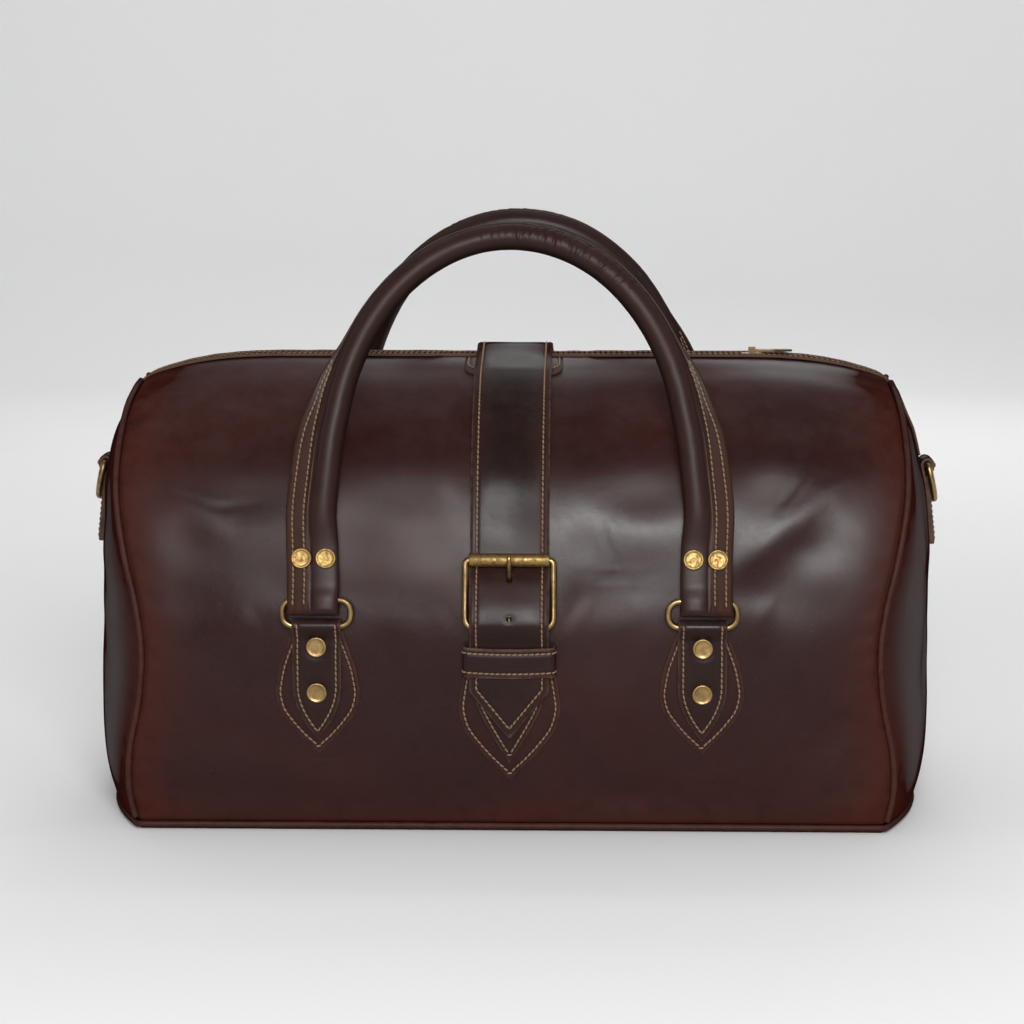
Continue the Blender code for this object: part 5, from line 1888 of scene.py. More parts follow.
@dataclass
class Patch:
    """A flat piece of leather with rounded edges, sewn on the body along its outline.

    Attributes:
        centre: Its middle along the surface.
        top: Its upper end.
        tip: Its lower end.
        half: Half its greatest width.
        shares: Share of its height from the top, share of its half width.
        stand: The gap under it.
        stitch_inset: From its edge to its stitches.
    """

    shop: Workshop
    centre: float
    top: float
    tip: float
    half: float
    shares: Table
    thickness: float = 1.6 * MM
    stand: float = GAP
    stitch_inset: float = 2.7 * MM
    pitch: float = 0.9 * MM
    lay: Lay = Lay()

    def half_at(self, height: Array) -> Array:
        """Half its width at a height."""
        return curve(self.shares, (self.top - height) / (self.top - self.tip)) * self.half

    def outline(self) -> Array:
        """Its outline from the top on the right, round the tip, to the top on the left."""
        share = np.sin(np.linspace(0, math.pi / 2, 90))
        height = self.top + (self.tip - self.top) * share
        right = np.column_stack([self.half_at(height), height])
        return resample(np.concatenate([right, right[::-1] * (-1, 1)]), OUTLINE_PITCH)

    def build(self, name: str, finish: Material, part: Part, place: Place) -> None:
        """Make the patch and its stitches.

        Args:
            name: The patch's name.
            finish: Its leather.
            part: Where it belongs.
            place: The quarter that it is in.
        """
        stitches = inset_line(self.outline(), self.stitch_inset, -1)
        rows = int((self.top - self.tip) / self.pitch)
        columns = int(2 * self.half / self.pitch) | 1
        steps = np.linspace(0, 1, rows)
        steps = steps - 0.35 * np.sin(2 * math.pi * steps) / (2 * math.pi)
        height = column(self.top + (self.tip - self.top) * steps, columns)
        across = self.half_at(height) * spread(columns)
        away, _ = line_distance(across, height, stitches)
        rim, _ = line_distance(across, height, self.outline())
        dip = 0.32 * MM * bell(away, GROOVE) + 0.55 * MM * (1 - smooth_step(0, 1.3 * MM, rim))
        swell = 0.25 * MM * smooth_step(1 * MM, 8 * MM, rim)
        level = self.stand + self.thickness
        grids = [place.move(self.lay.at(across + self.centre, height, stand))
                 for stand in (level - dip + swell, np.full(height.shape, self.stand))]
        item = self.shop.slab(name, finish, grids, not place.mirrored, edge=bell(rim, 0.9 * MM),
                              warm=0.03 + 0.2 * bell(rim, 3 * MM))
        part.take(soften(item, 0.3 * MM, 2))
        spots = stitches[:, 0] + self.centre, stitches[:, 1]
        line = self.lay.at(*spots, np.full(len(stitches), level - THREAD_SINK))
        self.shop.sewn(f"{name}_stitches", [(place.move(line), place.move(self.lay.out(*spots)))],
                       part.body)


@dataclass
class FoldedStrap:
    """A strap folded round a bar: two layers that end in a point, with an eye at the bar.

    Attributes:
        centre: Its middle along the surface.
        bar: The bar's centre.
        bar_height: The height on the surface that the bar is level with.
        bar_stand: The bar's distance from the surface.
        eye: The eye's outer radius.
        front: The front face's distance from the surface.
        back: The back face's distance from the surface.
        shoulder: Where the strap begins to narrow.
        tip: Where it ends.
        half: Half its width.
        thickness: The thickness of one layer.
        stitch_inset: From its edge to its stitches.
        stitched_top: How far below the bar its stitches begin.
        taper: How full its point is: 1 is straight-sided.
        pointed: Whether it ends in a point, and not square.
    """

    shop: Workshop
    centre: float
    bar: Array
    bar_height: float
    bar_stand: float
    eye: float
    front: float
    back: float
    shoulder: float
    tip: float
    half: float
    thickness: float = 1.75 * MM
    stitch_inset: float = 2.6 * MM
    stitched_top: float = -2 * MM
    taper: float = 1.15
    pitch: float = 0.9 * MM
    pointed: bool = True
    lay: Lay = Lay()

    def half_at(self, height: Array) -> Array:
        """Find half its width.

        Args:
            height: Heights along it.

        Returns:
            Half its width there.
        """
        if not self.pointed:
            corner = np.clip((height - self.tip) / (2.5 * MM), 0, 1)
            return self.half - 2.5 * MM * (1 - np.sqrt(1 - (1 - corner)**2))
        share = np.clip((height - self.tip) / (self.shoulder - self.tip), 0, 1)
        return np.maximum(self.half * (1 - (1 - share)**self.taper), 0.5 * MM)

    def path(self) -> tuple[Array, Array]:
        """The outer face's run, up the front, round the bar and down the back.

        Returns:
            Distances from the surface and up from the bar, and the outward directions there.
        """
        near, far = self.front - self.bar_stand, self.back - self.bar_stand
        low, start = self.tip - self.bar_height, -2.1 * self.eye
        rise = np.linspace(low, start, max(int((start - low) / self.pitch), 3))
        front = np.column_stack([np.full(len(rise), near), rise])
        back = np.column_stack([np.full(len(rise), far), rise[::-1]])
        turn = math.radians(-38)
        last = math.pi if far <= -self.eye * 0.97 else math.pi - turn
        turns = np.linspace(turn, last, 26)
        arc = self.eye * np.column_stack([np.cos(turns), np.sin(turns)])
        ahead = 0.55 * self.eye * np.column_stack([-np.sin(turns), np.cos(turns)])
        rising = np.array((0, 0.5 * self.eye))
        bend = self.bezier(front[-1], front[-1] + rising, arc[0] - ahead[0], arc[0])
        unbend = self.bezier(arc[-1], arc[-1] + ahead[-1], back[0] + rising, back[0])
        run = np.concatenate([front[:-1], bend[:-1], arc[:-1], unbend[:-1], back])
        ahead = unit(np.gradient(run, axis=0))
        return run, np.column_stack([ahead[:, 1], -ahead[:, 0]])

    @staticmethod
    def bezier(a: Array, b: Array, c: Array, d: Array, count: int = 9) -> Array:
        """Points of a cubic curve."""
        t = np.linspace(0, 1, count)[:, None]
        return a * (1 - t)**3 + 3 * b * t * (1 - t)**2 + 3 * c * t * t * (1 - t) + d * t**3

    def world(self, across: Array, away: Array, up: Array) -> Array:
        """Take points from beside the bar to the bag.

        Args:
            across: Distances along the bar.
            away: Distances out from the bar.
            up: Distances up from the bar.

        Returns:
            The points, on the surface's curve below and straight at the bar.
        """
        on = self.lay.at(across + self.centre, self.bar_height + up, self.bar_stand + away)
        out = self.lay.out(self.centre, self.bar_height)
        free = (self.bar + self.lay.axis * across[..., None] + out * away[..., None]
                + self.lay.rise(out) * up[..., None])
        share = smooth_step(-3.6 * self.eye, -2.0 * self.eye, up)[..., None]
        return on * (1 - share) + free * share

    def build(self, name: str, finish: Material, part: Part, place: Place,
              rivets: Sequence[float] = ()) -> Object:
        """Make the strap and its stitches.

        Args:
            name: The strap's name.
            finish: Its leather.
            part: Where it belongs.
            place: The quarter that it is in.
            rivets: Heights of the rivets, where the leather is pressed in.

        Returns:
            The strap.
        """
        run, outward = self.path()
        columns = int(2 * self.half / self.pitch) | 1
        height = self.bar_height + run[:, 1]
        level = self.half_at(np.where(height > self.shoulder, self.shoulder, height))[:, None]
        across, tall = level * spread(columns), column(height, columns)
        stitches = self.stitch_line()
        away, _ = line_distance(across, tall, stitches)
        rim = np.minimum(level - np.abs(across), tall - self.tip + 0.2 * MM)
        dip = 0.34 * MM * bell(away, GROOVE) + 0.45 * MM * (1 - smooth_step(0, 1.2 * MM, rim))
        for at in rivets:
            dip += 0.35 * MM * bell(np.hypot(across, tall - at) - 6 * MM, 1.6 * MM)
        dip *= (np.arange(len(run)) < len(run) / 2)[:, None]
        grids = []
        for deep in (dip, dip + self.thickness):
            away, up = (run[:, None, k] - outward[:, None, k] * deep for k in (0, 1))
            grids.append(place.move(self.world(across, away, up)))
        item = self.shop.slab(name, finish, grids, not place.mirrored,
                              edge=0.55 * bell(rim, 0.8 * MM), warm=0.35 * bell(rim, 4 * MM))
        part.take(soften(item, 0.3 * MM, 2))
        up = stitches[:, 1] - self.bar_height
        face = run[:len(run) // 2]
        face = face[np.argsort(face[:, 1])]
        line = self.world(stitches[:, 0], np.interp(up, face[:, 1], face[:, 0]) - THREAD_SINK, up)
        out = self.lay.out(stitches[:, 0] + self.centre, stitches[:, 1])
        self.shop.sewn(f"{name}_stitches", [(place.move(line), place.move(out))], part.body)
        return item

    def stitch_line(self) -> Array:
        """The row of stitches, down one side, round the point and up the other."""
        height = np.linspace(self.bar_height - self.stitched_top, self.tip, 120)
        right = np.column_stack([self.half_at(height), height])
        outline = resample(np.concatenate([right, right[::-1] * (-1, 1)]), OUTLINE_PITCH)
        return inset_line(outline, self.stitch_inset, -1)


@dataclass
class RingMount:
    """A ring with its patch, its chape and the chape's rivets, one in each quarter.

    Attributes:
        centre: How far along the bag it stands from the middle.
        bar_height: The height of the ring's lower bar.
        bar_spacing: From that bar to the upper one, that carries the handle.
        eye: The outer radius of the chape's fold round the bar.
        patch_shares: Share of the patch's height from its top, share of its half width.
        chape_taper: How full the chape's point is.
    """

    shop: Workshop
    centre: float = 109.5 * MM
    bar_height: float = 122.5 * MM
    bar_spacing: float = 15 * MM
    ring_half: float = 19.5 * MM
    ring_corner: float = 6.5 * MM
    wire: float = 1.75 * MM
    eye: float = 4.2 * MM
    patch_thickness: float = 1.6 * MM
    patch_top: float = 119 * MM
    patch_tip: float = 48 * MM
    patch_half: float = 24 * MM
    patch_shares: Table = ((0.00, 0.60), (0.08, 0.68), (0.16, 0.77), (0.29, 0.90), (0.41, 0.97),
                           (0.51, 1.00), (0.65, 0.90), (0.76, 0.68), (0.87, 0.40), (0.95, 0.15),
                           (1.00, 0.02))
    chape_half: float = 13.8 * MM
    chape_thickness: float = 3.6 * MM
    chape_shoulder: float = 88 * MM
    chape_tip: float = 57.5 * MM
    chape_inset: float = 2.9 * MM
    chape_taper: float = 1.9
    rivet_heights: tuple = (("upper", 110.8 * MM), ("lower", 84.8 * MM))

    @property
    def plate(self) -> float:
        """The distance of a chape's back from the body."""
        return GAP + self.patch_thickness + GAP

    def bar(self) -> Array:
        """The centre of a ring's lower bar on the right front."""
        at = BODY.stand_off(self.centre, self.bar_height, self.plate + self.eye)
        return np.array([self.centre, at[1], at[2]])

    def build(self) -> None:
        """Make the fittings of all four quarters."""
        for face in Face:
            for side in Side:
                self.quarter(Place(side, face))

    def quarter(self, place: Place) -> None:
        """Make one quarter's fittings.

        Args:
            place: The quarter.
        """
        label, finishes = place.label, self.shop.finishes
        patch = Patch(self.shop, self.centre, self.patch_top, self.patch_tip, self.patch_half,
                      self.patch_shares, self.patch_thickness)
        patch.build(f"{label}_sewn_patch", finishes.body, Part("bag", "leather", f"{label}_patch"),
                    place)
        front = self.plate + self.chape_thickness
        chape = FoldedStrap(self.shop, self.centre, self.bar(), self.bar_height,
                            self.plate + self.eye, self.eye, front, self.plate,
                            self.chape_shoulder, self.chape_tip, self.chape_half,
                            stitch_inset=self.chape_inset, taper=self.chape_taper)
        chape.build(f"{label}_folded_chape", finishes.belt,
                    Part("bag", "leather", f"{label}_chape"), place,
                    [height for _, height in self.rivet_heights])
        for word, height in self.rivet_heights:
            seat = place.move(BODY.stand_off(self.centre, height, front))
            Rivet(finishes.brass).set(f"{label}_{word}_chape_cap", seat,
                                      place.move(BODY.out_at(self.centre, height)),
                                      Part("bag", "brass", f"{label}_{word}_rivet"))
        low = self.bar()
        line = rounded_loop(low, low + (0, 0, self.bar_spacing), self.ring_half,
                            self.ring_corner, self.ring_corner)
        wire_loop(f"{label}_brass_ring", place.move(line), self.wire, finishes.brass,
                  Part(f"{label}_ring_body", "brass", f"{label}_ring"))


def rounded_loop(low: Array, high: Array, half: float, corner_low: float,
                 corner_high: float) -> Array:
    """Points of a closed wire: two bars along X, joined by rounded corners.

    Args:
        low: The middle of the lower bar.
        high: The middle of the upper bar.
        half: Half the loop's width.
        corner_low: The radius of its lower corners.
        corner_high: The radius of its upper corners.

    Returns:
        The points.
    """
    up, span = unit(high - low), np.linalg.norm(high - low)
    points = []
    for side, bar, radius, start in ((1, 0, corner_low, -90), (1, span, corner_high, 0),
                                     (-1, span, corner_high, 90), (-1, 0, corner_low, 180)):
        for turn in np.radians(np.linspace(start, start + 90, 10)):
            x = side * (half - radius) + radius * math.cos(turn)
            rise = (radius if bar == 0 else bar - radius) + radius * math.sin(turn)
            points.append(low + (x, 0, 0) + up * rise)
    return resample(np.array(points + points[:1]), 1.2 * MM)[:-1]


def wire_loop(name: str, line: Array, radius: float, finish: Material, part: Part) -> None:
    """Make a closed loop of round wire."""
    part.take(make(name, *tube(line, radius, 18, closed=True), finish))


@dataclass(frozen=True)
class Rivet:
    """A rivet's cap: a flat disc with a raised rim, on its post.

    Attributes:
        finish: Its brass.
        cap: Its radius.
        rise: Its height.
        turns: Points round it.
        profile: Share of the radius, share of the height, from the middle round to the post.
    """

    finish: Material
    cap: float = 6.0 * MM
    rise: float = 1.5 * MM
    turns: int = 40
    profile: Table = ((0.0, 0.74), (0.35, 0.73), (0.60, 0.72), (0.72, 0.76), (0.79, 0.90),
                      (0.85, 0.99), (0.91, 0.96), (0.96, 0.72), (0.99, 0.36), (1.0, 0.08),
                      (0.985, -0.22), (0.93, -0.30), (0.30, -0.30), (0.30, -1.6), (0.0, -1.6))

    def set(self, name: str, seat: Array, out: Array, part: Part) -> None:
        """Set the rivet in its leather.

        Args:
            name: The cap's name.
            seat: The middle of its seat on the leather.
            out: The leather's outward normal.
            part: Where it belongs.
        """
        side = unit(np.cross(out, (0.0, 0.0, 1.0)))
        turns = circle(self.turns)[:, None]
        ring = side * np.cos(turns) + np.cross(side, out) * np.sin(turns)
        base = seat + out * GAP
        first, *middle, end = self.profile
        rows = [base + ring * wide * self.cap + out * high * self.rise for wide, high in middle]
        poles = [base[None] + out * high * self.rise for _, high in (first, end)]
        verts = np.concatenate([poles[0], *rows, poles[1]])
        faces = [tuple(1 + i for i in face)
                 for face in grid_faces(len(rows), self.turns, False, True)]
        last = len(verts) - 1
        for k in range(self.turns):
            after = (k + 1) % self.turns
            faces.append((0, 1 + after, 1 + k))
            faces.append((last, last - self.turns + k, last - self.turns + after))
        rim = [0.2 + 0.8 * (0.76 < wide < 0.95) for wide, _ in middle]
        edge = np.concatenate([[0.2], np.repeat(rim, self.turns), [0.0]])
        part.take(make(name, verts, faces, self.finish, edge=edge))


# Handles


@dataclass(frozen=True)
class HandleForm:
    """One handle as measured on the front, one row to a station.

    Attributes:
        place: The half of the bag that it belongs to.
        centre: The centres of its sections.
        out: The outward directions, in the handle's plane.
        flange: Shares of the flange's full width.
        flatten: Shares of the tab's flatness.
        n: Distances outward of the sections' points.
        b: Distances across of the same points.
        edge: Distances outward of the flange's edge.
    """

    place: Place
    centre: Array
    out: Array
    flange: Array
    flatten: Array
    n: Array
    b: Array
    edge: Array

    def lines(self, outward: Array, level: Array, keep: Array,
              facing: Array) -> list[tuple[Array, Array]]:
        """Lines along both legs, on both faces of the handle.

        Args:
            outward: How far outward they run.
            level: How far across.
            keep: Which stations they cover.
            facing: The direction across, towards the viewer.

        Returns:
            Each line's points, and the normals there.
        """
        found = []
        for leg in (self.centre[:, 0] > 0, self.centre[:, 0] <= 0):
            k = keep & leg
            for sign in (1, -1):
                line = self.centre[k] + self.out[k] * outward[k, None]
                line = line + facing * (sign * level[k])[:, None]
                found.append((line, np.tile(facing * sign, (len(line), 1))))
        return found


@dataclass
class Handle:
    """A rolled handle with a stitched flange, folded round its rings at both tabs.

    Attributes:
        ring: The fittings that carry it.
        lean: How far it leans towards the middle for each unit of height.
        top: The height of the roll's middle at the top.
        roll: The roll's radius.
        tab_roll_half: How far the roll reaches outward where it is flattened into the tab.
        flange_width: The flange's full width beyond the roll.
        fold_drop: How far below the ring's bar the middle of the tab's fold hangs.
        leg_heights: Heights at which a leg is given.
        leg_x_shares: The roll's distance from the middle, as a share of the rings'.
        flange_shares: Shares of the flange's full width.
        flatten_shares: How far the roll is flattened into the tab.
        roll_open: Half the angle of the roll that the flange takes up.
        row_insets: The stitches' rows, in from the flange's edge and out from the roll: at most,
            and as a share of the flange's width.
        row_least: The least flange width that carries each row.
        wrap_top: The height at which the wrapped leather's edges end.
        arch_centre: The height of the centre of the ellipse whose top is the arch.
        arch_flange_shares: Share of the way to the top, share of the flange's full width.
    """

    shop: Workshop
    ring: RingMount
    lean: float = 0.2
    top: float = 341.5 * MM
    roll: float = 7.6 * MM
    tab_thickness: float = 5 * MM
    tab_centre: float = 111 * MM
    tab_roll_half: float = 8.3 * MM
    rivet_height: float = 161 * MM
    rivet_spacing: float = 13.8 * MM
    flange_thickness: float = 4 * MM
    flange_width: float = 12.8 * MM
    fold_drop: float = 4.5 * MM
    leg_heights: tuple = tuple(h * MM for h in (139, 152, 168, 186, 206, 228, 246))
    leg_x_shares: tuple = (0.959, 0.959, 0.963, 0.971, 0.955, 0.931, 0.897)
    flange_shares: tuple = (1.00, 1.00, 1.00, 1.00, 1.00, 0.92, 0.70)
    flatten_shares: tuple = (1.00, 1.00, 0.92, 0.30, 0.05, 0.00, 0.00)
    roll_open: float = math.radians(25)
    row_insets: Table = ((3.6 * MM, 0.42), (2.9 * MM, 0.3))
    row_least: tuple = (3.8 * MM, 4.6 * MM)
    roll_steps: int = 34
    flange_steps: int = 16
    wrap_top: float = 232 * MM
    arch_centre: float = 218 * MM
    arch_steps: int = 190
    arch_flange_shares: Table = ((0.00, 0.70), (0.06, 0.56), (0.14, 0.32), (0.21, 0.13),
                                 (0.30, 0.07), (1.00, 0.06))

    @property
    def bar(self) -> Array:
        """The centre of the ring's upper bar."""
        return self.ring.bar() + (0, 0, self.ring.bar_spacing)

    @property
    def up(self) -> Array:
        """The handle's upward direction for each unit of height."""
        return np.array([0.0, self.lean, 1.0])

    @property
    def facing(self) -> Array:
        """The direction out of the handle's plane, towards the viewer."""
        return unit(np.array([0.0, -1.0, self.lean]))

    @property
    def fold_height(self) -> float:
        """The height of the middle of the tab's fold."""
        return self.bar[2] - self.fold_drop

    def half_line(self) -> tuple[Array, Array, Array]:
        """The right half: centres, flange shares and flattened shares, from fold to top."""
        table = list(zip(self.leg_heights, self.leg_x_shares, self.flange_shares,
                         self.flatten_shares))
        turn = np.linspace(0.12, math.pi / 2, 10)[:-1]
        low = self.fold_height - self.ring.eye * np.cos(turn)
        leg = np.concatenate([low, np.linspace(self.fold_height, self.leg_heights[-1], 90)])
        rise = self.top - self.arch_centre
        start = math.asin((self.leg_heights[-1] - self.arch_centre) / rise)
        span = self.leg_x_shares[-1] * self.ring.centre / math.cos(start)
        turn = np.linspace(start, math.pi / 2, self.arch_steps + 1)[1:]
        share = (turn - start) / (math.pi / 2 - start)
        height = np.concatenate([leg, self.arch_centre + rise * np.sin(turn)])
        x = np.concatenate([curve(table, leg, 1) * self.ring.centre, span * np.cos(turn)])
        flange = np.concatenate([curve(table, leg, 2), curve(self.arch_flange_shares, share)])
        flatten = np.concatenate([curve(table, leg, 3), 0 * turn])
        y = self.bar[1] + self.lean * (height - self.bar[2])
        return np.column_stack([x, y, height]), flange, flatten

    def swell(self, height: Array) -> Array:
        """Find how much thicker than its tab the fold is, where it goes round the bar.

        Args:
            height: Heights along the handle.

        Returns:
            The thickness there, as a share of the tab's.
        """
        eye, low = self.ring.eye, self.fold_height
        half = self.tab_thickness / 2
        round_end = np.sqrt(np.maximum(eye**2 - np.minimum(height - low, 0)**2, 0))
        close = smooth_step(low + 3.5 * MM, low + 14 * MM, height)
        return (round_end + (half - eye) * close) / half

    def sections(self, height: Array, flange: Array,
                 flatten: Array) -> tuple[Array, Array, Array]:
        """The handle's sections.

        Args:
            height: Heights along the handle.
            flange: Flange shares along the handle.
            flatten: Flattened shares along the handle.

        Returns:
            Distances outward and across, one row to a station, and the outer edges.
        """
        roll_n = self.roll_out(flatten)
        roll_b = self.roll + (self.tab_thickness / 2 - self.roll) * flatten
        edge = roll_n + self.flange_width * flange
        half = np.minimum(self.flange_half(flatten), roll_b)[:, None]
        turns = np.linspace(self.roll_open, 2 * math.pi - self.roll_open, self.roll_steps)
        n = roll_n[:, None] * np.cos(turns)
        power = 1 - 0.35 * flatten[:, None]
        b = roll_b[:, None] * np.sign(np.sin(turns)) * np.abs(np.sin(turns)) ** power
        steps = np.linspace(0, 1, self.flange_steps + 1)[1:]
        n0, b0 = n[:, :1], b[:, :1]
        fn = n0 + (edge[:, None] - n0) * steps
        fb = half + (b0 - half) * (1 - smooth_step(0, 0.34, steps))
        for row in self.rows(edge, roll_n):
            fb = fb - 0.34 * MM * bell(fn - row[:, None], 0.85 * MM)
        fb = fb * (1 - 0.45 * smooth_step(0.90, 1.0, steps))
        tip = edge[:, None] + 0.25 * MM
        n = np.concatenate([n, fn, tip, fn[:, ::-1]], axis=1)
        b = np.concatenate([b, -fb, 0 * tip, fb[:, ::-1]], axis=1)
        return n, b * self.swell(height)[:, None], edge

    def rows(self, edge: Array, roll_n: Array) -> list[Array]:
        """Find where the two rows of stitches lie.

        Args:
            edge: How far outward the flange's edge is.
            roll_n: How far outward the roll reaches.

        Returns:
            The outer and the inner row's distances outward.
        """
        outer, inner = (np.minimum(most, share * (edge - roll_n)) for most, share in
                        self.row_insets)
        return [edge - outer, roll_n + inner]

    def roll_out(self, flatten: Array) -> Array:
        """How far the roll reaches outward, the more the flatter it is."""
        return self.roll + (self.tab_roll_half - self.roll) * flatten

    def flange_half(self, flatten: Array) -> Array:
        """Half the flange's thickness."""
        spare = (self.tab_thickness - self.flange_thickness) / 2
        return self.flange_thickness / 2 + spare * flatten

    def build(self) -> None:
        """Make both handles."""
        for face in Face:
            self.handle(face)

    def handle(self, face: Face) -> None:
        """Make one handle, its tabs, stitches and rivets.

        Args:
            face: The front or the back handle.
        """
        form = self.form(face)
        n, b = form.n, form.b
        swollen = 1 + self.wrinkles(form)
        grid = (form.centre[:, None] + form.out[:, None] * (n * swollen)[..., None]
                + self.facing * (b * swollen)[..., None])
        cracked = smooth_step(0.45, 0.95, form.flange)[:, None] * smooth_step(
            0.2 * MM, 2.5 * MM, n - self.tab_roll_half) * 0.6
        # Painted light: the roll's outer face is made warmer and lighter, as if lit from the front.
        painted_light_warmth = smooth_step(0.2, 1.0, b / self.roll) * 0.15
        # Painted shade under the arch: the roll's inner side darkens towards the top.
        under = 0.8 * smooth_step(0.15, 1.0, -n / self.roll)
        under = under * smooth_step(230 * MM, 290 * MM, form.centre[:, 2:3])
        item = make(f"{face.word}_rolled_handle", form.place.move(grid.reshape(-1, 3)),
                    capped_faces(*n.shape), self.shop.finishes.handle,
                    edge=0.15 * bell(form.edge[:, None] - n, 1.4 * MM).ravel(),
                    warm=np.clip(cracked + painted_light_warmth, 0, 1).ravel(), crease=under.ravel())
        Part(f"{face.word}_handle_body", "handle_leather", f"{face.word}_handle").take(item)
        self.stitches(form)
        self.wrap_edges(form)
        for side in Side:
            self.rivets(Place(side, face))

    def form(self, face: Face) -> HandleForm:
        """Measure one handle, from its right tab over the arch to its left tab.

        Args:
            face: The front or the back handle.

        Returns:
            The form, on the front.
        """
        centre, flange, flatten = self.half_line()
        centre = np.concatenate([centre, centre[-2::-1] * (-1, 1, 1)])[::-1]
        flange, flatten = (np.concatenate([shares, shares[-2::-1]])[::-1]
                           for shares in (flange, flatten))
        n, b, edge = self.sections(centre[:, 2], flange, flatten)
        out = unit(np.cross(self.facing, unit(np.gradient(centre, axis=0))))
        middle = (0, centre[0][1], 200 * MM)
        out = out * np.sign(np.sum(out * (centre - middle), axis=1))[:, None]
        return HandleForm(Place(Side.RIGHT, face), centre, out, flange, flatten, n, b, edge)

    def wrinkles(self, form: HandleForm) -> Array:
        """Small wrinkles across the roll, strongest where the hand bends it.

        Args:
            form: The handle's form.

        Returns:
            How much each point stands out, as a share of its distance from the centre.
        """
        along, turn = lengths(form.centre)[:, None], np.arctan2(form.b, form.n) * self.roll
        seed, spot = (61, 28 * MM) if form.place.face is Face.FRONT else (67, -20 * MM)
        rng = np.random.default_rng(seed)
        middle = float(along[int(np.argmin(np.abs(form.centre[:, 0] - spot))), 0])
        total = 0.004 * ripple(along, turn, 6 * MM, seed, 20)
        for step in np.arange(-46, 50, 4.6) * MM:
            at = middle + step + rng.uniform(-1.2, 1.2) * MM
            deep = rng.uniform(0.05, 0.12) * bell(step, 40 * MM)
            heading, slant = self.roll * rng.uniform(0.7, 1.5), rng.uniform(-0.35, 0.15)
            reach = bell(turn - heading, rng.uniform(4, 7.5) * MM)
            off = along - at - slant * (turn - heading)
            fold = 0.6 * bell(off - 1.9 * MM, 1.2 * MM) - bell(off, 0.8 * MM)
            total = total + deep * fold * reach
        return total + 0.012 * ripple(along, turn, 45 * MM, seed + 1)

    def wrap_edges(self, form: HandleForm) -> None:
        """Lay the cut edges of the leather that is wrapped round the roll along its foot.

        Args:
            form: The handle's form.
        """
        foot = self.roll_out(form.flatten) + 0.5 * MM
        low, high = self.fold_height + MM, self.wrap_top
        flat = slice(self.roll_steps, self.roll_steps + self.flange_steps)
        level = np.array([np.interp(at, row_n[flat], -row_b[flat])
                          for at, row_n, row_b in zip(foot, form.n, form.b)]) + 0.05 * MM
        height = form.centre[:, 2]
        kit = MeshKit()
        for line, _ in form.lines(foot, level, (height > low) & (height < high), self.facing):
            ends = smooth_step(low, low + 4 * MM, line[:, 2])
            ends = ends * (1 - smooth_step(high - 30 * MM, high, line[:, 2]))
            kit.add(*tube(form.place.move(line), (0.1 + 0.3 * ends) * MM, 8))
        name = form.place.face.word
        item = kit.object(f"{name}_handle_wrap_edges", self.shop.finishes.edge, closed=True)
        Part(f"{name}_handle_body", "handle_leather").take(item)

    def stitches(self, form: HandleForm) -> None:
        """Sew both rows of the flange, on both faces of the handle.

        Args:
            form: The handle's form.
        """
        roll_n, move = self.roll_out(form.flatten), form.place.move
        level = self.flange_half(form.flatten) * self.swell(form.centre[:, 2]) - 0.2 * MM
        rows = []
        for row, least in zip(self.rows(form.edge, roll_n), self.row_least):
            wide = (form.edge - roll_n > least) & (form.centre[:, 2] > self.fold_height)
            rows += [(move(line), move(normals))
                     for line, normals in form.lines(row, level, wide, self.facing)]
        name = form.place.face.word
        self.shop.sewn(f"{name}_handle_stitches", rows, f"{name}_handle_body")

    def rivets(self, place: Place) -> None:
        """Set the two rivets of one tab, each with its burr behind.

        Args:
            place: The tab's quarter of the bag.
        """
        up, brass = unit(self.up), self.shop.finishes.brass
        body, facing = f"{place.face.word}_handle_body", place.move(self.facing)
        for offset, word in ((-0.5, "inner"), (0.5, "outer")):
            x = self.tab_centre + offset * self.rivet_spacing
            rise = (self.rivet_height - self.bar[2]) / up[2]
            seat = np.array([x, *self.bar[1:]]) + up * rise
            seat = seat + self.facing * (self.tab_thickness / 2 + 0.2 * MM)
            Rivet(self.shop.finishes.cap).set(
                f"{place.label}_{word}_handle_cap", place.move(seat), facing,
                Part(body, "brass", f"{place.label}_handle_{word}_rivet"))
            under = seat - self.facing * (self.tab_thickness + 0.2 * MM + 0.7 * MM)
            Rivet(brass, 4.6 * MM, 0.8 * MM).set(f"{place.label}_{word}_handle_burr",
                                                 place.move(under), -facing,
                                                 Part(body, "brass"))


# Belt and buckle


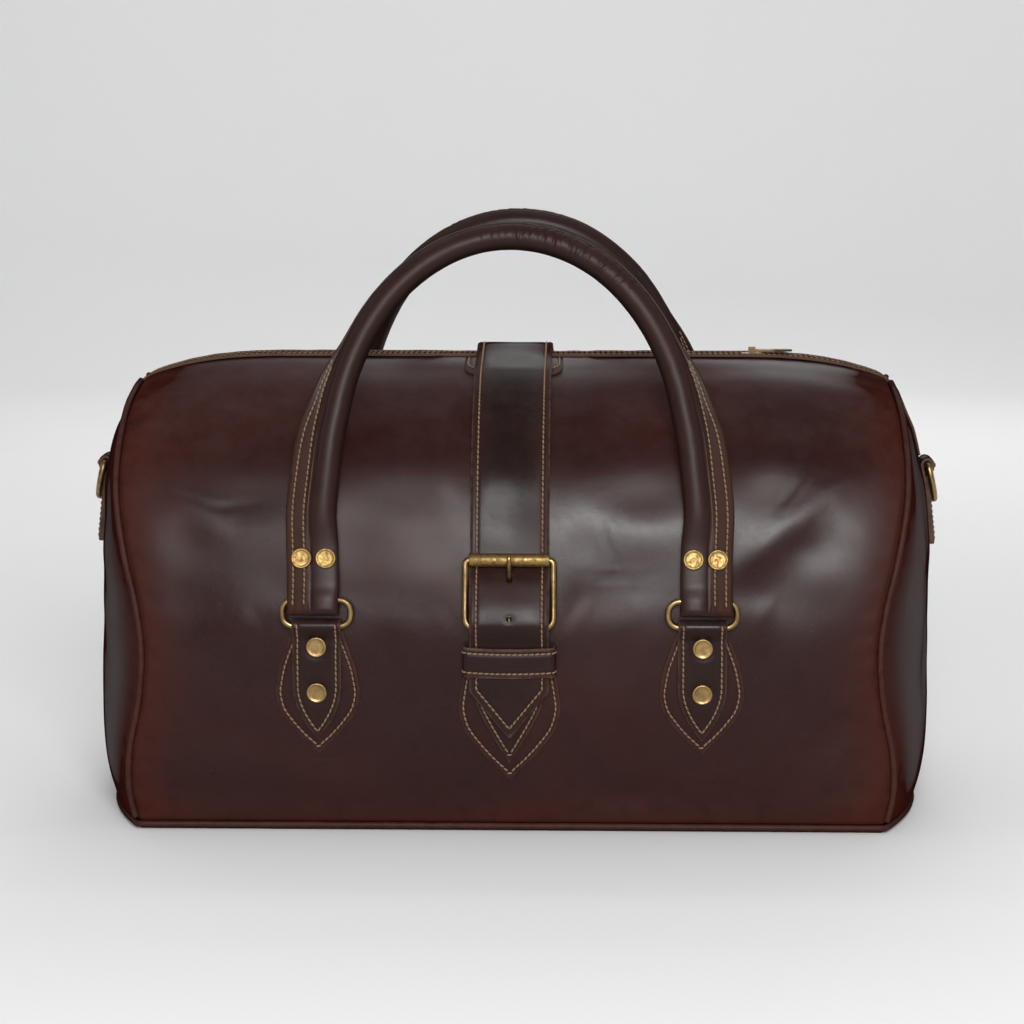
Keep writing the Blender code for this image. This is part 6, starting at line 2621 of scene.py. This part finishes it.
@dataclass
class Belt:
    """The belt over the mouth, its patches, its keeper, and the buckle that closes it.

    Attributes:
        ring: The rings' fittings, whose chapes are as thick as the buckle's.
        rise: How far the belt stands above the top, over the mouth.
        shoulder: Where it begins to narrow to its tip.
        blunt: How much is left off its point.
        mouth_half: Half the width over which it crosses the mouth.
        holes: Height, width, length and the rim's radius of each hole.
        mouth_girths: The girths between which the mouth patch lies.
        stands: Height, distance of the belt's inner face from the body.
        crown: Share of mouth_half, drop below the crown.
        prong_line: Height, distance of the prong's middle from the body.
        prong_eye: The outer radius of the prong's eye.
        prong_slot: The size of the slot in the chape that the prong comes out of.
    """

    shop: Workshop
    ring: RingMount
    half: float = 22.5 * MM
    thickness: float = 3 * MM
    rise: float = 4.4 * MM
    tip: float = 60 * MM
    shoulder: float = 86 * MM
    mouth_half: float = 12 * MM
    back_stand: float = 0.6 * MM
    back_end: float = 204 * MM
    stitch_inset: float = 3.9 * MM
    holes: Table = ((152.4 * MM, 4.4 * MM, 11 * MM, 2.6 * MM),
                    (128.6 * MM, 3 * MM, 3 * MM, 1.9 * MM))
    columns: int = 53
    pitch: float = 0.9 * MM
    blunt: float = 1.8 * MM
    mouth_girths: tuple = (0.955, 0.795)
    shield_shares: Table = ((0.00, 0.66), (0.08, 0.76), (0.22, 0.90), (0.36, 0.97), (0.47, 1.00),
                            (0.62, 0.90), (0.74, 0.68), (0.86, 0.40), (0.95, 0.15), (1.00, 0.02))
    heel_height: float = 122 * MM
    roller_height: float = 159.5 * MM
    buckle_stand: float = 7.6 * MM
    buckle_half: float = 25 * MM
    wire: float = 1.9 * MM
    roller_radius: float = 3.8 * MM
    roller_half: float = 22.8 * MM
    prong_radius: float = 1.65 * MM
    prong_eye: float = 3.7 * MM
    prong_eye_half: float = 2.25 * MM
    prong_slot: tuple = (5.2 * MM, 14 * MM, 9 * MM)
    keeper_half: float = 26.5 * MM
    keeper_top: float = 112 * MM
    keeper_bottom: float = 95.5 * MM
    keeper_thickness: float = 1.6 * MM
    keeper_corner: float = 3.2 * MM
    keeper_inset: float = 2.9 * MM
    stands: Table = tuple((h * MM, s * MM) for h, s in (
        (60, 6.4), (112.5, 6.4), (117, 9.8), (122, 12.6), (127, 12.3), (134.5, 10.6), (141.5, 8.4),
        (147.5, 6.5), (151, 4.8), (155, 1.8), (160, 0.6), (170, 0.5), (224, 0.6), (238, 2.3),
        (266, 2.3)))
    crown: Table = ((1.15, 1.9 * MM), (0.7, 0.4 * MM), (0.0, 0.0))
    prong_line: Table = tuple((h * MM, s * MM) for h, s in (
        (124.5, 7.8), (129.5, 7.8), (134, 7.3), (139, 5.5), (144, 4.5), (148, 5.2), (151, 7.6),
        (154.5, 10.8), (157.5, 13.0), (160, 13.7), (162.3, 13.5)))
    mouth_shares: Table = ((0.00, 1.00), (0.35, 1.00), (0.60, 0.97), (0.78, 0.87), (0.90, 0.69),
                           (0.97, 0.44), (1.00, 0.10))

    @property
    def plate(self) -> float:
        """The distance of the buckle chape's back from the body."""
        return self.ring.plate

    def build(self) -> None:
        """Make the belt's pieces and the buckle's."""
        finishes = self.shop.finishes
        shield = Patch(self.shop, 0.0, 112 * MM, 33 * MM, 29 * MM, self.shield_shares)
        shield.build("belt_shield_leather", finishes.body,
                     Part("bag", "leather", "belt_shield_patch"), FRONT_MIDDLE)
        top, tip = (float(BODY.skin(0.0, girth)[2]) for girth in self.mouth_girths)
        mouth = Patch(self.shop, 0.0, top, tip, 29 * MM, self.mouth_shares, 1.4 * MM,
                      stitch_inset=2.2 * MM)
        mouth.build("belt_mouth_leather", finishes.body,
                    Part("bag", "leather", "belt_mouth_patch"), FRONT_MIDDLE)
        self.strap()
        self.keeper()
        heel = BODY.stand_off(0.0, self.heel_height, self.buckle_stand)
        eye = self.wire + GAP + 1.8 * MM
        chape = FoldedStrap(self.shop, 0.0, heel, self.heel_height, self.buckle_stand, eye,
                            self.plate + self.ring.chape_thickness, self.plate, 78 * MM, 44 * MM,
                            18.5 * MM)
        made = chape.build("buckle_folded_chape", finishes.belt,
                           Part("bag", "belt_leather", "buckle_chape"), FRONT_MIDDLE)
        cut_box(made, heel + (0, -2 * MM, 2 * MM), self.prong_slot)
        self.buckle(heel)

    def line(self) -> tuple[Array, Array, Array]:
        """The belt's outer face over the middle, from its tip to its back end.

        Returns:
            The points, the outward normals, and half the width at each.
        """
        height = np.arange(self.tip, 259 * MM, MM)
        front = BODY.stand_off(0.0, height, curve(self.stands, height) + self.thickness)
        top = BODY.height + self.rise + self.thickness
        over = np.array([(0.0, -self.mouth_half * share, top - drop) for share, drop in self.crown])
        past = over[-2::-1] * (1, -1, 1)
        height = np.arange(261 * MM, self.back_end, -MM)
        back = BODY.stand_off(0.0, height, np.full(len(height), self.back_stand + self.thickness))
        whole = np.concatenate([front, over, past, back * (1, -1, 1)])
        points = relax(resample(whole, self.pitch), 14)
        run = unit(np.gradient(points, axis=0))
        out = np.column_stack([0 * run[:, 0], -run[:, 2], run[:, 1]])
        low = points[:, 2] + (points[:, 1] > 0) - self.tip + self.blunt
        return points, out, self.half * np.clip(low / (self.shoulder - self.tip + self.blunt), 0, 1)

    def strap(self) -> None:
        """Make the belt with its stitches and holes."""
        points, out, half = self.line()
        stations = np.arange(len(points))
        along = stations * self.pitch
        outline = np.concatenate([np.column_stack([half, along])[::-1],
                                  np.column_stack([-half, along])])
        stitches = inset_line(resample(outline, OUTLINE_PITCH), self.stitch_inset, -1)
        across, tall = half[:, None] * spread(self.columns), column(along, self.columns)
        away, _ = line_distance(across, tall, stitches)
        rim, _ = line_distance(across, tall, outline[::4])
        dip = 0.38 * MM * bell(away, GROOVE) + 0.6 * MM * (1 - smooth_step(0, 1.4 * MM, rim))
        holes = []
        for height, wide, long, size in self.holes:
            k = int(np.argmin(np.abs(points[:len(points) // 2, 2] - height)))
            holes.append((k, wide, long))
            dip += 0.3 * MM * bell(np.hypot(across, tall - along[k]) - size, MM)
        sway = 0.3 * MM * ripple(across, tall, 40 * MM, 71) * smooth_step(0, 12 * MM, rim)
        grids = []
        for deep in (-dip + sway, -self.thickness + sway + 0.3 * MM * (rim < 0.5 * MM)):
            grid = points[:, None] + out[:, None] * deep[..., None]
            grid[..., 0] = across
            grids.append(grid)
        warm = 0.42 * bell(rim, 6 * MM) + 0.25 * ripple(across, tall, 60 * MM, 73)
        # Painted shade: the belt's middle, from above the buckle on, is darkened.
        dark = 0.45 * smooth_step(8 * MM, 16 * MM, rim) * smooth_step(105 * MM, 130 * MM, tall)
        item = self.shop.slab("belt_leather_strap", self.shop.finishes.belt, grids,
                              edge=0.6 * bell(rim, 0.9 * MM), warm=np.clip(warm, 0, 1),
                              crease=dark)
        for k, wide, long in holes:
            cut_hole(item, points[k], out[k], wide, long)
        Part("bag", "belt_leather", "belt_strap").take(soften(item, 0.35 * MM, 2))
        at = np.interp(stitches[:, 1], along, stations)
        line, normal = between(at, stations, points), unit(between(at, stations, out))
        line[:, 0] = stitches[:, 0]
        self.shop.sewn("belt_stitches", [(line - normal * 0.3 * MM, normal)])

    def keeper(self) -> None:
        """Make the keeper: a band round the belt."""
        stand = float(curve(self.stands, self.keeper_bottom))
        crown = stand + self.thickness + 2 * GAP + self.keeper_thickness
        w, r = self.keeper_half, self.keeper_corner
        turns = np.linspace(math.pi, math.pi / 2, 8)
        left = np.column_stack([-w + r + r * np.cos(turns), crown - r + r * np.sin(turns)])
        feet = np.column_stack([np.full(6, -w), np.linspace(self.plate, crown - r, 7)[:-1]])
        middle = np.column_stack([np.linspace(-w + r, w - r, 60)[1:-1], np.full(58, crown)])
        path = np.concatenate([feet, left, middle, left[::-1] * (-1, 1), feet[::-1] * (-1, 1)])
        run = unit(np.gradient(path, axis=0))
        side = np.column_stack([-run[:, 1], run[:, 0]])
        heights = np.linspace(self.keeper_bottom, self.keeper_top, 24)
        rim = np.minimum(heights - heights[0], heights[-1] - heights)[:, None]
        dip = 0.32 * MM * bell(rim - self.keeper_inset, GROOVE)
        dip = dip + 0.5 * MM * (1 - smooth_step(0, 1.3 * MM, rim))
        arch = 1 - (path[:, 0] / w)**2
        bow, sag = 0.5 * MM * arch, 0.9 * MM * arch
        grids = []
        for deep in (-dip, np.full_like(dip, -self.keeper_thickness)):
            x, stand = path[:, 0] + side[:, 0] * deep, path[:, 1] + side[:, 1] * deep + bow
            grids.append(self.keeper_points(x, heights[:, None] - sag, stand))
        item = self.shop.slab("belt_keeper_band", self.shop.finishes.belt, grids,
                              edge=bell(rim, 1.0 * MM), warm=0.5 * bell(rim, 3.5 * MM))
        Part("bag", "belt_leather", "belt_keeper").take(soften(item, 0.3 * MM, 2))
        rows = []
        for height in (heights[0] + self.keeper_inset, heights[-1] - self.keeper_inset):
            x, stand = path[:, 0] - 0.25 * MM * side[:, 0], path[:, 1] - 0.25 * MM * side[:, 1]
            line = self.keeper_points(x, height - sag, stand + bow)
            out = BODY.out_at(0.0, height) * side[:, 1:2] + np.outer(side[:, 0], (1.0, 0.0, 0.0))
            rows.append((line[2:-2], unit(out)[2:-2]))
        self.shop.sewn("belt_keeper_stitches", rows)

    @staticmethod
    def keeper_points(x: Array, height: Array, away: Array) -> Array:
        """Find points level with a height of the body's middle.

        Args:
            x: Places along the bag.
            height: The heights.
            away: Distances from the body.

        Returns:
            The points.
        """
        x, height, away = np.broadcast_arrays(x, height, away)
        points = BODY.stand_off(np.zeros(x.shape), height, away)
        points[..., 0] = x
        return points

    def buckle(self, heel: Array) -> None:
        """Make the buckle's frame, roller and prong.

        Args:
            heel: The middle of the bar that the chape holds.
        """
        brass, bore = self.shop.finishes.brass, self.wire + GAP
        high = BODY.stand_off(0.0, self.roller_height, self.buckle_stand)
        line = rounded_loop(heel, high, self.buckle_half, 6 * MM, 2.6 * MM)
        wire_loop("buckle_brass_frame", line, self.wire, brass,
                  Part("bag", "brass", "buckle_frame"))
        half, r = self.roller_half, self.roller_radius
        profile = [(-half + 0.5 * MM, r), (half - 0.5 * MM, r), (half - 0.15 * MM, r - 0.15 * MM),
                   (half, r - 0.5 * MM), (half, bore), (-half, bore), (-half, r - 0.5 * MM),
                   (-half + 0.15 * MM, r - 0.15 * MM)]
        item = make("buckle_brass_roller", *self.bushing(high, profile, 48),
                    self.shop.finishes.cap)
        Part("buckle_roller_body", "brass", "buckle_roller").take(soften(item, 0.15 * MM, 2, 25))
        height = np.linspace(self.prong_line[0][0], self.prong_line[-1][0], 70)
        points = resample(BODY.stand_off(0.0, height, curve(self.prong_line, height)), 0.8 * MM)
        share = np.linspace(0, 1, len(points))
        radii = self.prong_radius * (1 - 0.22 * smooth_step(0.66, 0.86, share)
                                     - 0.45 * np.clip((share - 0.93) / 0.07, 0, 1)**2.2)
        kit = MeshKit()
        kit.add(*tube(points, radii, 20, out=(0, -1, 0)))
        outer, wide = self.prong_eye, self.prong_eye_half
        ring = [(-wide + 0.3 * MM, outer), (wide - 0.3 * MM, outer), (wide, outer - 0.3 * MM),
                (wide, bore), (-wide, bore), (-wide, outer - 0.3 * MM)]
        kit.add(*self.bushing(heel, ring, 40))
        item = kit.object("buckle_brass_prong", brass, closed=True)
        Part("buckle_prong_body", "brass", "buckle_prong").take(item)

    @staticmethod
    def bushing(centre: Array, profile: Table, turns: int) -> tuple[Array, list]:
        """Points and faces of a ring turned round a bar that runs along X.

        Args:
            centre: The bar's middle.
            profile: Distance along the bar and radius of each corner of its section.
            turns: Points round it.

        Returns:
            The points and the faces.
        """
        angles = circle(turns)
        rows = [np.column_stack([np.full(turns, x), centre[1] + radius * np.cos(angles),
                                 centre[2] + radius * np.sin(angles)]) for x, radius in profile]
        return np.concatenate(rows), grid_faces(len(rows), turns, True, True)


def cut_box(item: Object, centre: Array, size: tuple[float, float, float]) -> None:
    """Cut a box out of an object.

    Args:
        item: The object.
        centre: The box's middle.
        size: Its size along X, Y and Z.
    """
    work = bmesh.new()
    place = Matrix.Translation(Vector(centre)) @ Matrix.Diagonal((*size, 1))
    bmesh.ops.create_cube(work, size=1, matrix=place)
    apply_cut(item, work)


def cut_hole(item: Object, centre: Array, out: Array, wide: float, tall: float) -> None:
    """Punch a hole through an object.

    Args:
        item: The object.
        centre: The hole's middle.
        out: The direction that it is punched along.
        wide: Its width.
        tall: Its length.
    """
    work = bmesh.new()
    turn = Vector(out).to_track_quat("Z", "Y").to_matrix().to_4x4()
    stretch = Matrix.Diagonal((wide, tall, 16 * MM, 1))
    place = Matrix.Translation(Vector(centre)) @ turn @ stretch
    bmesh.ops.create_cone(work, cap_ends=True, segments=28, radius1=0.5, radius2=0.5, depth=1,
                          matrix=place)
    apply_cut(item, work)


def apply_cut(item: Object, work: bmesh.types.BMesh) -> None:
    """Cut a shape out of an object and leave nothing behind but the cut.

    Args:
        item: The object.
        work: The shape, which is used up.
    """
    mesh = bpy.data.meshes.new("cutter")
    work.to_mesh(mesh)
    work.free()
    cutter = bpy.data.objects.new("cutter", mesh)
    bpy.context.scene.collection.objects.link(cutter)
    cutter.data.materials.append(item.data.materials[-1])
    others = list(item.modifiers)
    for other in others:
        other.show_viewport = False
    boolean = item.modifiers.new("Cut", "BOOLEAN")
    boolean.operation = "DIFFERENCE"
    boolean.object = cutter
    boolean.material_mode = "TRANSFER"
    graph = bpy.context.evaluated_depsgraph_get()
    made = bpy.data.meshes.new_from_object(item.evaluated_get(graph), depsgraph=graph)
    item.modifiers.remove(boolean)
    old = item.data
    made.name = old.name
    item.data = made
    bpy.data.objects.remove(cutter)
    for spare in (old, mesh):
        bpy.data.meshes.remove(spare)
    for other in others:
        other.show_viewport = True


# End tabs


@dataclass
class EndTab:
    """A folded tab on each end, and the D-ring that hangs from it.

    Attributes:
        side_share: How far down the D-ring's straight sides reach, as a share of its drop.
        ease: The gap between the hanging ring and its tab.
    """

    shop: Workshop
    bar_height: float = 200 * MM
    tip: float = 153 * MM
    half: float = 10.5 * MM
    wire: float = 1.9 * MM
    ring_half: float = 14.5 * MM
    bar_half: float = 13.5 * MM
    drop: float = 22 * MM
    side_share: float = 0.25
    thickness: float = 3.6 * MM
    ease: float = 0.15 * MM

    def build(self) -> None:
        """Make both ends' tabs."""
        for side in Side:
            self.tab(side)

    def tab(self, side: Side) -> None:
        """Make one tab and its ring.

        Args:
            side: Which end.
        """
        place = Place(side, Face.FRONT)
        eye = self.wire + GAP + 2.1 * MM
        stand = GAP + eye
        level = np.array(self.bar_height)
        out, point = BODY.ridge_out(level), BODY.ridge(level)
        bar = point + out * stand
        strap = FoldedStrap(self.shop, 0.0, bar, self.bar_height, stand, eye,
                            GAP + self.thickness, GAP, self.tip + 1 * MM, self.tip, self.half,
                            pointed=False, lay=EndLay(), stitch_inset=2.3 * MM)
        strap.build(f"{side.word}_folded_tab", self.shop.finishes.body,
                    Part("bag", "leather", f"{side.word}_ring_tab"), place)
        down = unit(BODY.ridge(level - self.drop) - point)
        lean = out * (GAP + self.thickness + GAP + self.wire + self.ease - stand)
        turn, along = np.linspace(0, math.pi, 40), np.array([0.0, 1.0, 0.0])
        share = self.side_share + (1 - self.side_share) * np.sin(turn)
        arc = (bar + np.outer(self.ring_half * np.cos(turn), along)
               + (down * self.drop + lean) * share[:, None])
        ends = bar + np.outer(np.linspace(-self.bar_half, self.bar_half, 14), along)
        line = resample(np.concatenate([ends, arc, ends[:1]]), 1.0 * MM)[:-1]
        wire_loop(f"{side.word}_brass_d_ring", place.move(relax(line, 3, closed=True)), self.wire,
                  self.shop.finishes.brass,
                  Part(f"{side.word}_d_ring_body", "brass", f"{side.word}_d_ring"))


# The studio


@dataclass(frozen=True)
class SoftBox:
    """A rectangular lamp.

    Attributes:
        name: Its name.
        at: Where it hangs.
        aim: The point that it faces.
        size: Its width and height.
        power: Its power, in watts.
    """

    name: str
    at: tuple[float, float, float]
    aim: tuple[float, float, float]
    size: tuple[float, float]
    power: float

    def hang(self) -> None:
        """Hang the lamp."""
        data = bpy.data.lights.new(self.name, "AREA")
        data.shape = "RECTANGLE"
        data.size, data.size_y = self.size
        data.energy = self.power
        item = bpy.data.objects.new(self.name, data)
        item.location = self.at
        item.rotation_euler = (Vector(self.at) - Vector(self.aim)).to_track_quat(
            "Z", "Y").to_euler()
        bpy.context.scene.collection.objects.link(item)


@dataclass(frozen=True)
class Studio:
    """The floor, the backdrop, the lamps and the camera.

    Attributes:
        azimuth: How far the camera stands to the right of straight on, in degrees.
        elevation: How far it stands above level, in degrees.
        distance: Its distance from the target.
        target: The point that it looks at.
        lens: Its focal length, in millimetres.
        pale: The colour of the floor and the backdrop.
        sky: The colour of the world's light.
        sky_strength: Its strength.
        front_edge: Where the floor begins.
        depth: Where it begins to curve up.
        curve_radius: The radius of that curve.
        half_width: Half its width.
        tall: The height of the backdrop.
        boxes: The lamps.
    """

    azimuth: float = 1.6
    elevation: float = 8.0
    distance: float = 1900 * MM
    target: tuple[float, float, float] = (-2.1 * MM, 0.0, 170.3 * MM)
    lens: float = 110.2
    pale: Colour = (0.880, 0.880, 0.876)
    sky: Colour = (0.97, 0.98, 1.0)
    sky_strength: float = 0.26
    front_edge: float = -0.95
    depth: float = 2.4
    curve_radius: float = 0.9
    half_width: float = 6.0
    tall: float = 3.6
    boxes: tuple[SoftBox, ...] = (
        SoftBox("front_softbox", (0.24, -2.3, 1.10), (0, 0, 0.16), (0.7, 0.5), 35),
        SoftBox("front_strip", (0.0, -2.4, 1.12), (0, 0, 0.16), (3.4, 0.4), 18),
        SoftBox("front_low_softbox", (-0.08, -2.4, 0.52), (0, 0, 0.16), (0.7, 0.5), 10),
        SoftBox("left_softbox", (-2.4, -0.3, 1.1), (0, 0, 0.15), (0.9, 1.4), 5),
        SoftBox("right_softbox", (2.4, -0.2, 1.1), (0, 0, 0.15), (0.9, 1.4), 4),
        SoftBox("overhead_softbox", (0.0, 0.5, 2.7), (0, 0.5, 0.0), (4.4, 2.6), 9),
        SoftBox("backdrop_softbox", (0.0, 1.9, 3.0), (0, 3.3, 0.9), (3.4, 0.6), 23),
        SoftBox("back_softbox", (0.3, 2.2, 1.3), (0, 0, 0.15), (1.2, 0.6), 9),
    )

    def build(self) -> None:
        """Make the studio."""
        self.camera()
        self.floor()
        self.world()
        for box in self.boxes:
            box.hang()
        bpy.context.scene.view_settings.view_transform = "Standard"

    def camera(self) -> None:
        """Stand the camera where the photograph was taken."""
        az, el = math.radians(self.azimuth), math.radians(self.elevation)
        back = Vector((math.sin(az) * math.cos(el), -math.cos(az) * math.cos(el), math.sin(el)))
        data = bpy.data.cameras.new("camera")
        data.lens = self.lens
        data.sensor_width = 36
        item = bpy.data.objects.new("camera", data)
        item.location = Vector(self.target) + back * self.distance
        item.rotation_euler = back.to_track_quat("Z", "Y").to_euler()
        bpy.context.scene.collection.objects.link(item)
        bpy.context.scene.camera = item

    def floor(self) -> None:
        """Lay a pale sweep: a floor that curves up into a backdrop."""
        turns, radius = np.linspace(0, math.pi / 2, 24)[1:], self.curve_radius
        profile = [(self.front_edge, 0.0), (self.depth, 0.0)]
        profile += [(self.depth + radius * math.sin(t), radius * (1 - math.cos(t)))
                    for t in turns]
        profile.append((self.depth + radius, self.tall))
        verts = [(x, y, z) for y, z in profile for x in (-self.half_width, self.half_width)]
        surface = Surface("Pale studio sweep", roughness=0.85)
        w = surface.wires
        speck = w.noise(w.place(), 1.4, 3.0)
        tone = w.mix(w.step(speck, 0.3, 0.7), self.pale, tuple(c * 0.985 for c in self.pale))
        w.feed(surface.shader.inputs["Base Color"], tone)
        make("studio_floor", np.array(verts), grid_faces(len(profile), 2),
                      surface.material, closed=False)

    def world(self) -> None:
        """Give the world a pale even light."""
        world = bpy.data.worlds.new("studio")
        bpy.context.scene.world = world
        world.use_nodes = True
        w = Wiring(world.node_tree)
        shade = world.node_tree.nodes["Background"]
        w.feed(shade.inputs["Color"], self.sky)
        w.feed(shade.inputs["Strength"], self.sky_strength)


def main() -> None:
    """Build the bag's looks round its frame."""
    logging.basicConfig(level=logging.INFO, format="%(message)s")
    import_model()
    Studio().build()
    shop = Workshop()
    ring = RingMount(shop)
    for assembly in (BodyLeather(shop), Mouth(shop), ring, Handle(shop, ring), Belt(shop, ring),
                     EndTab(shop)):
        log.info("Building %s", type(assembly).__name__)
        assembly.build()
    bpy.context.view_layer.update()


if __name__ == "__main__":
    main()
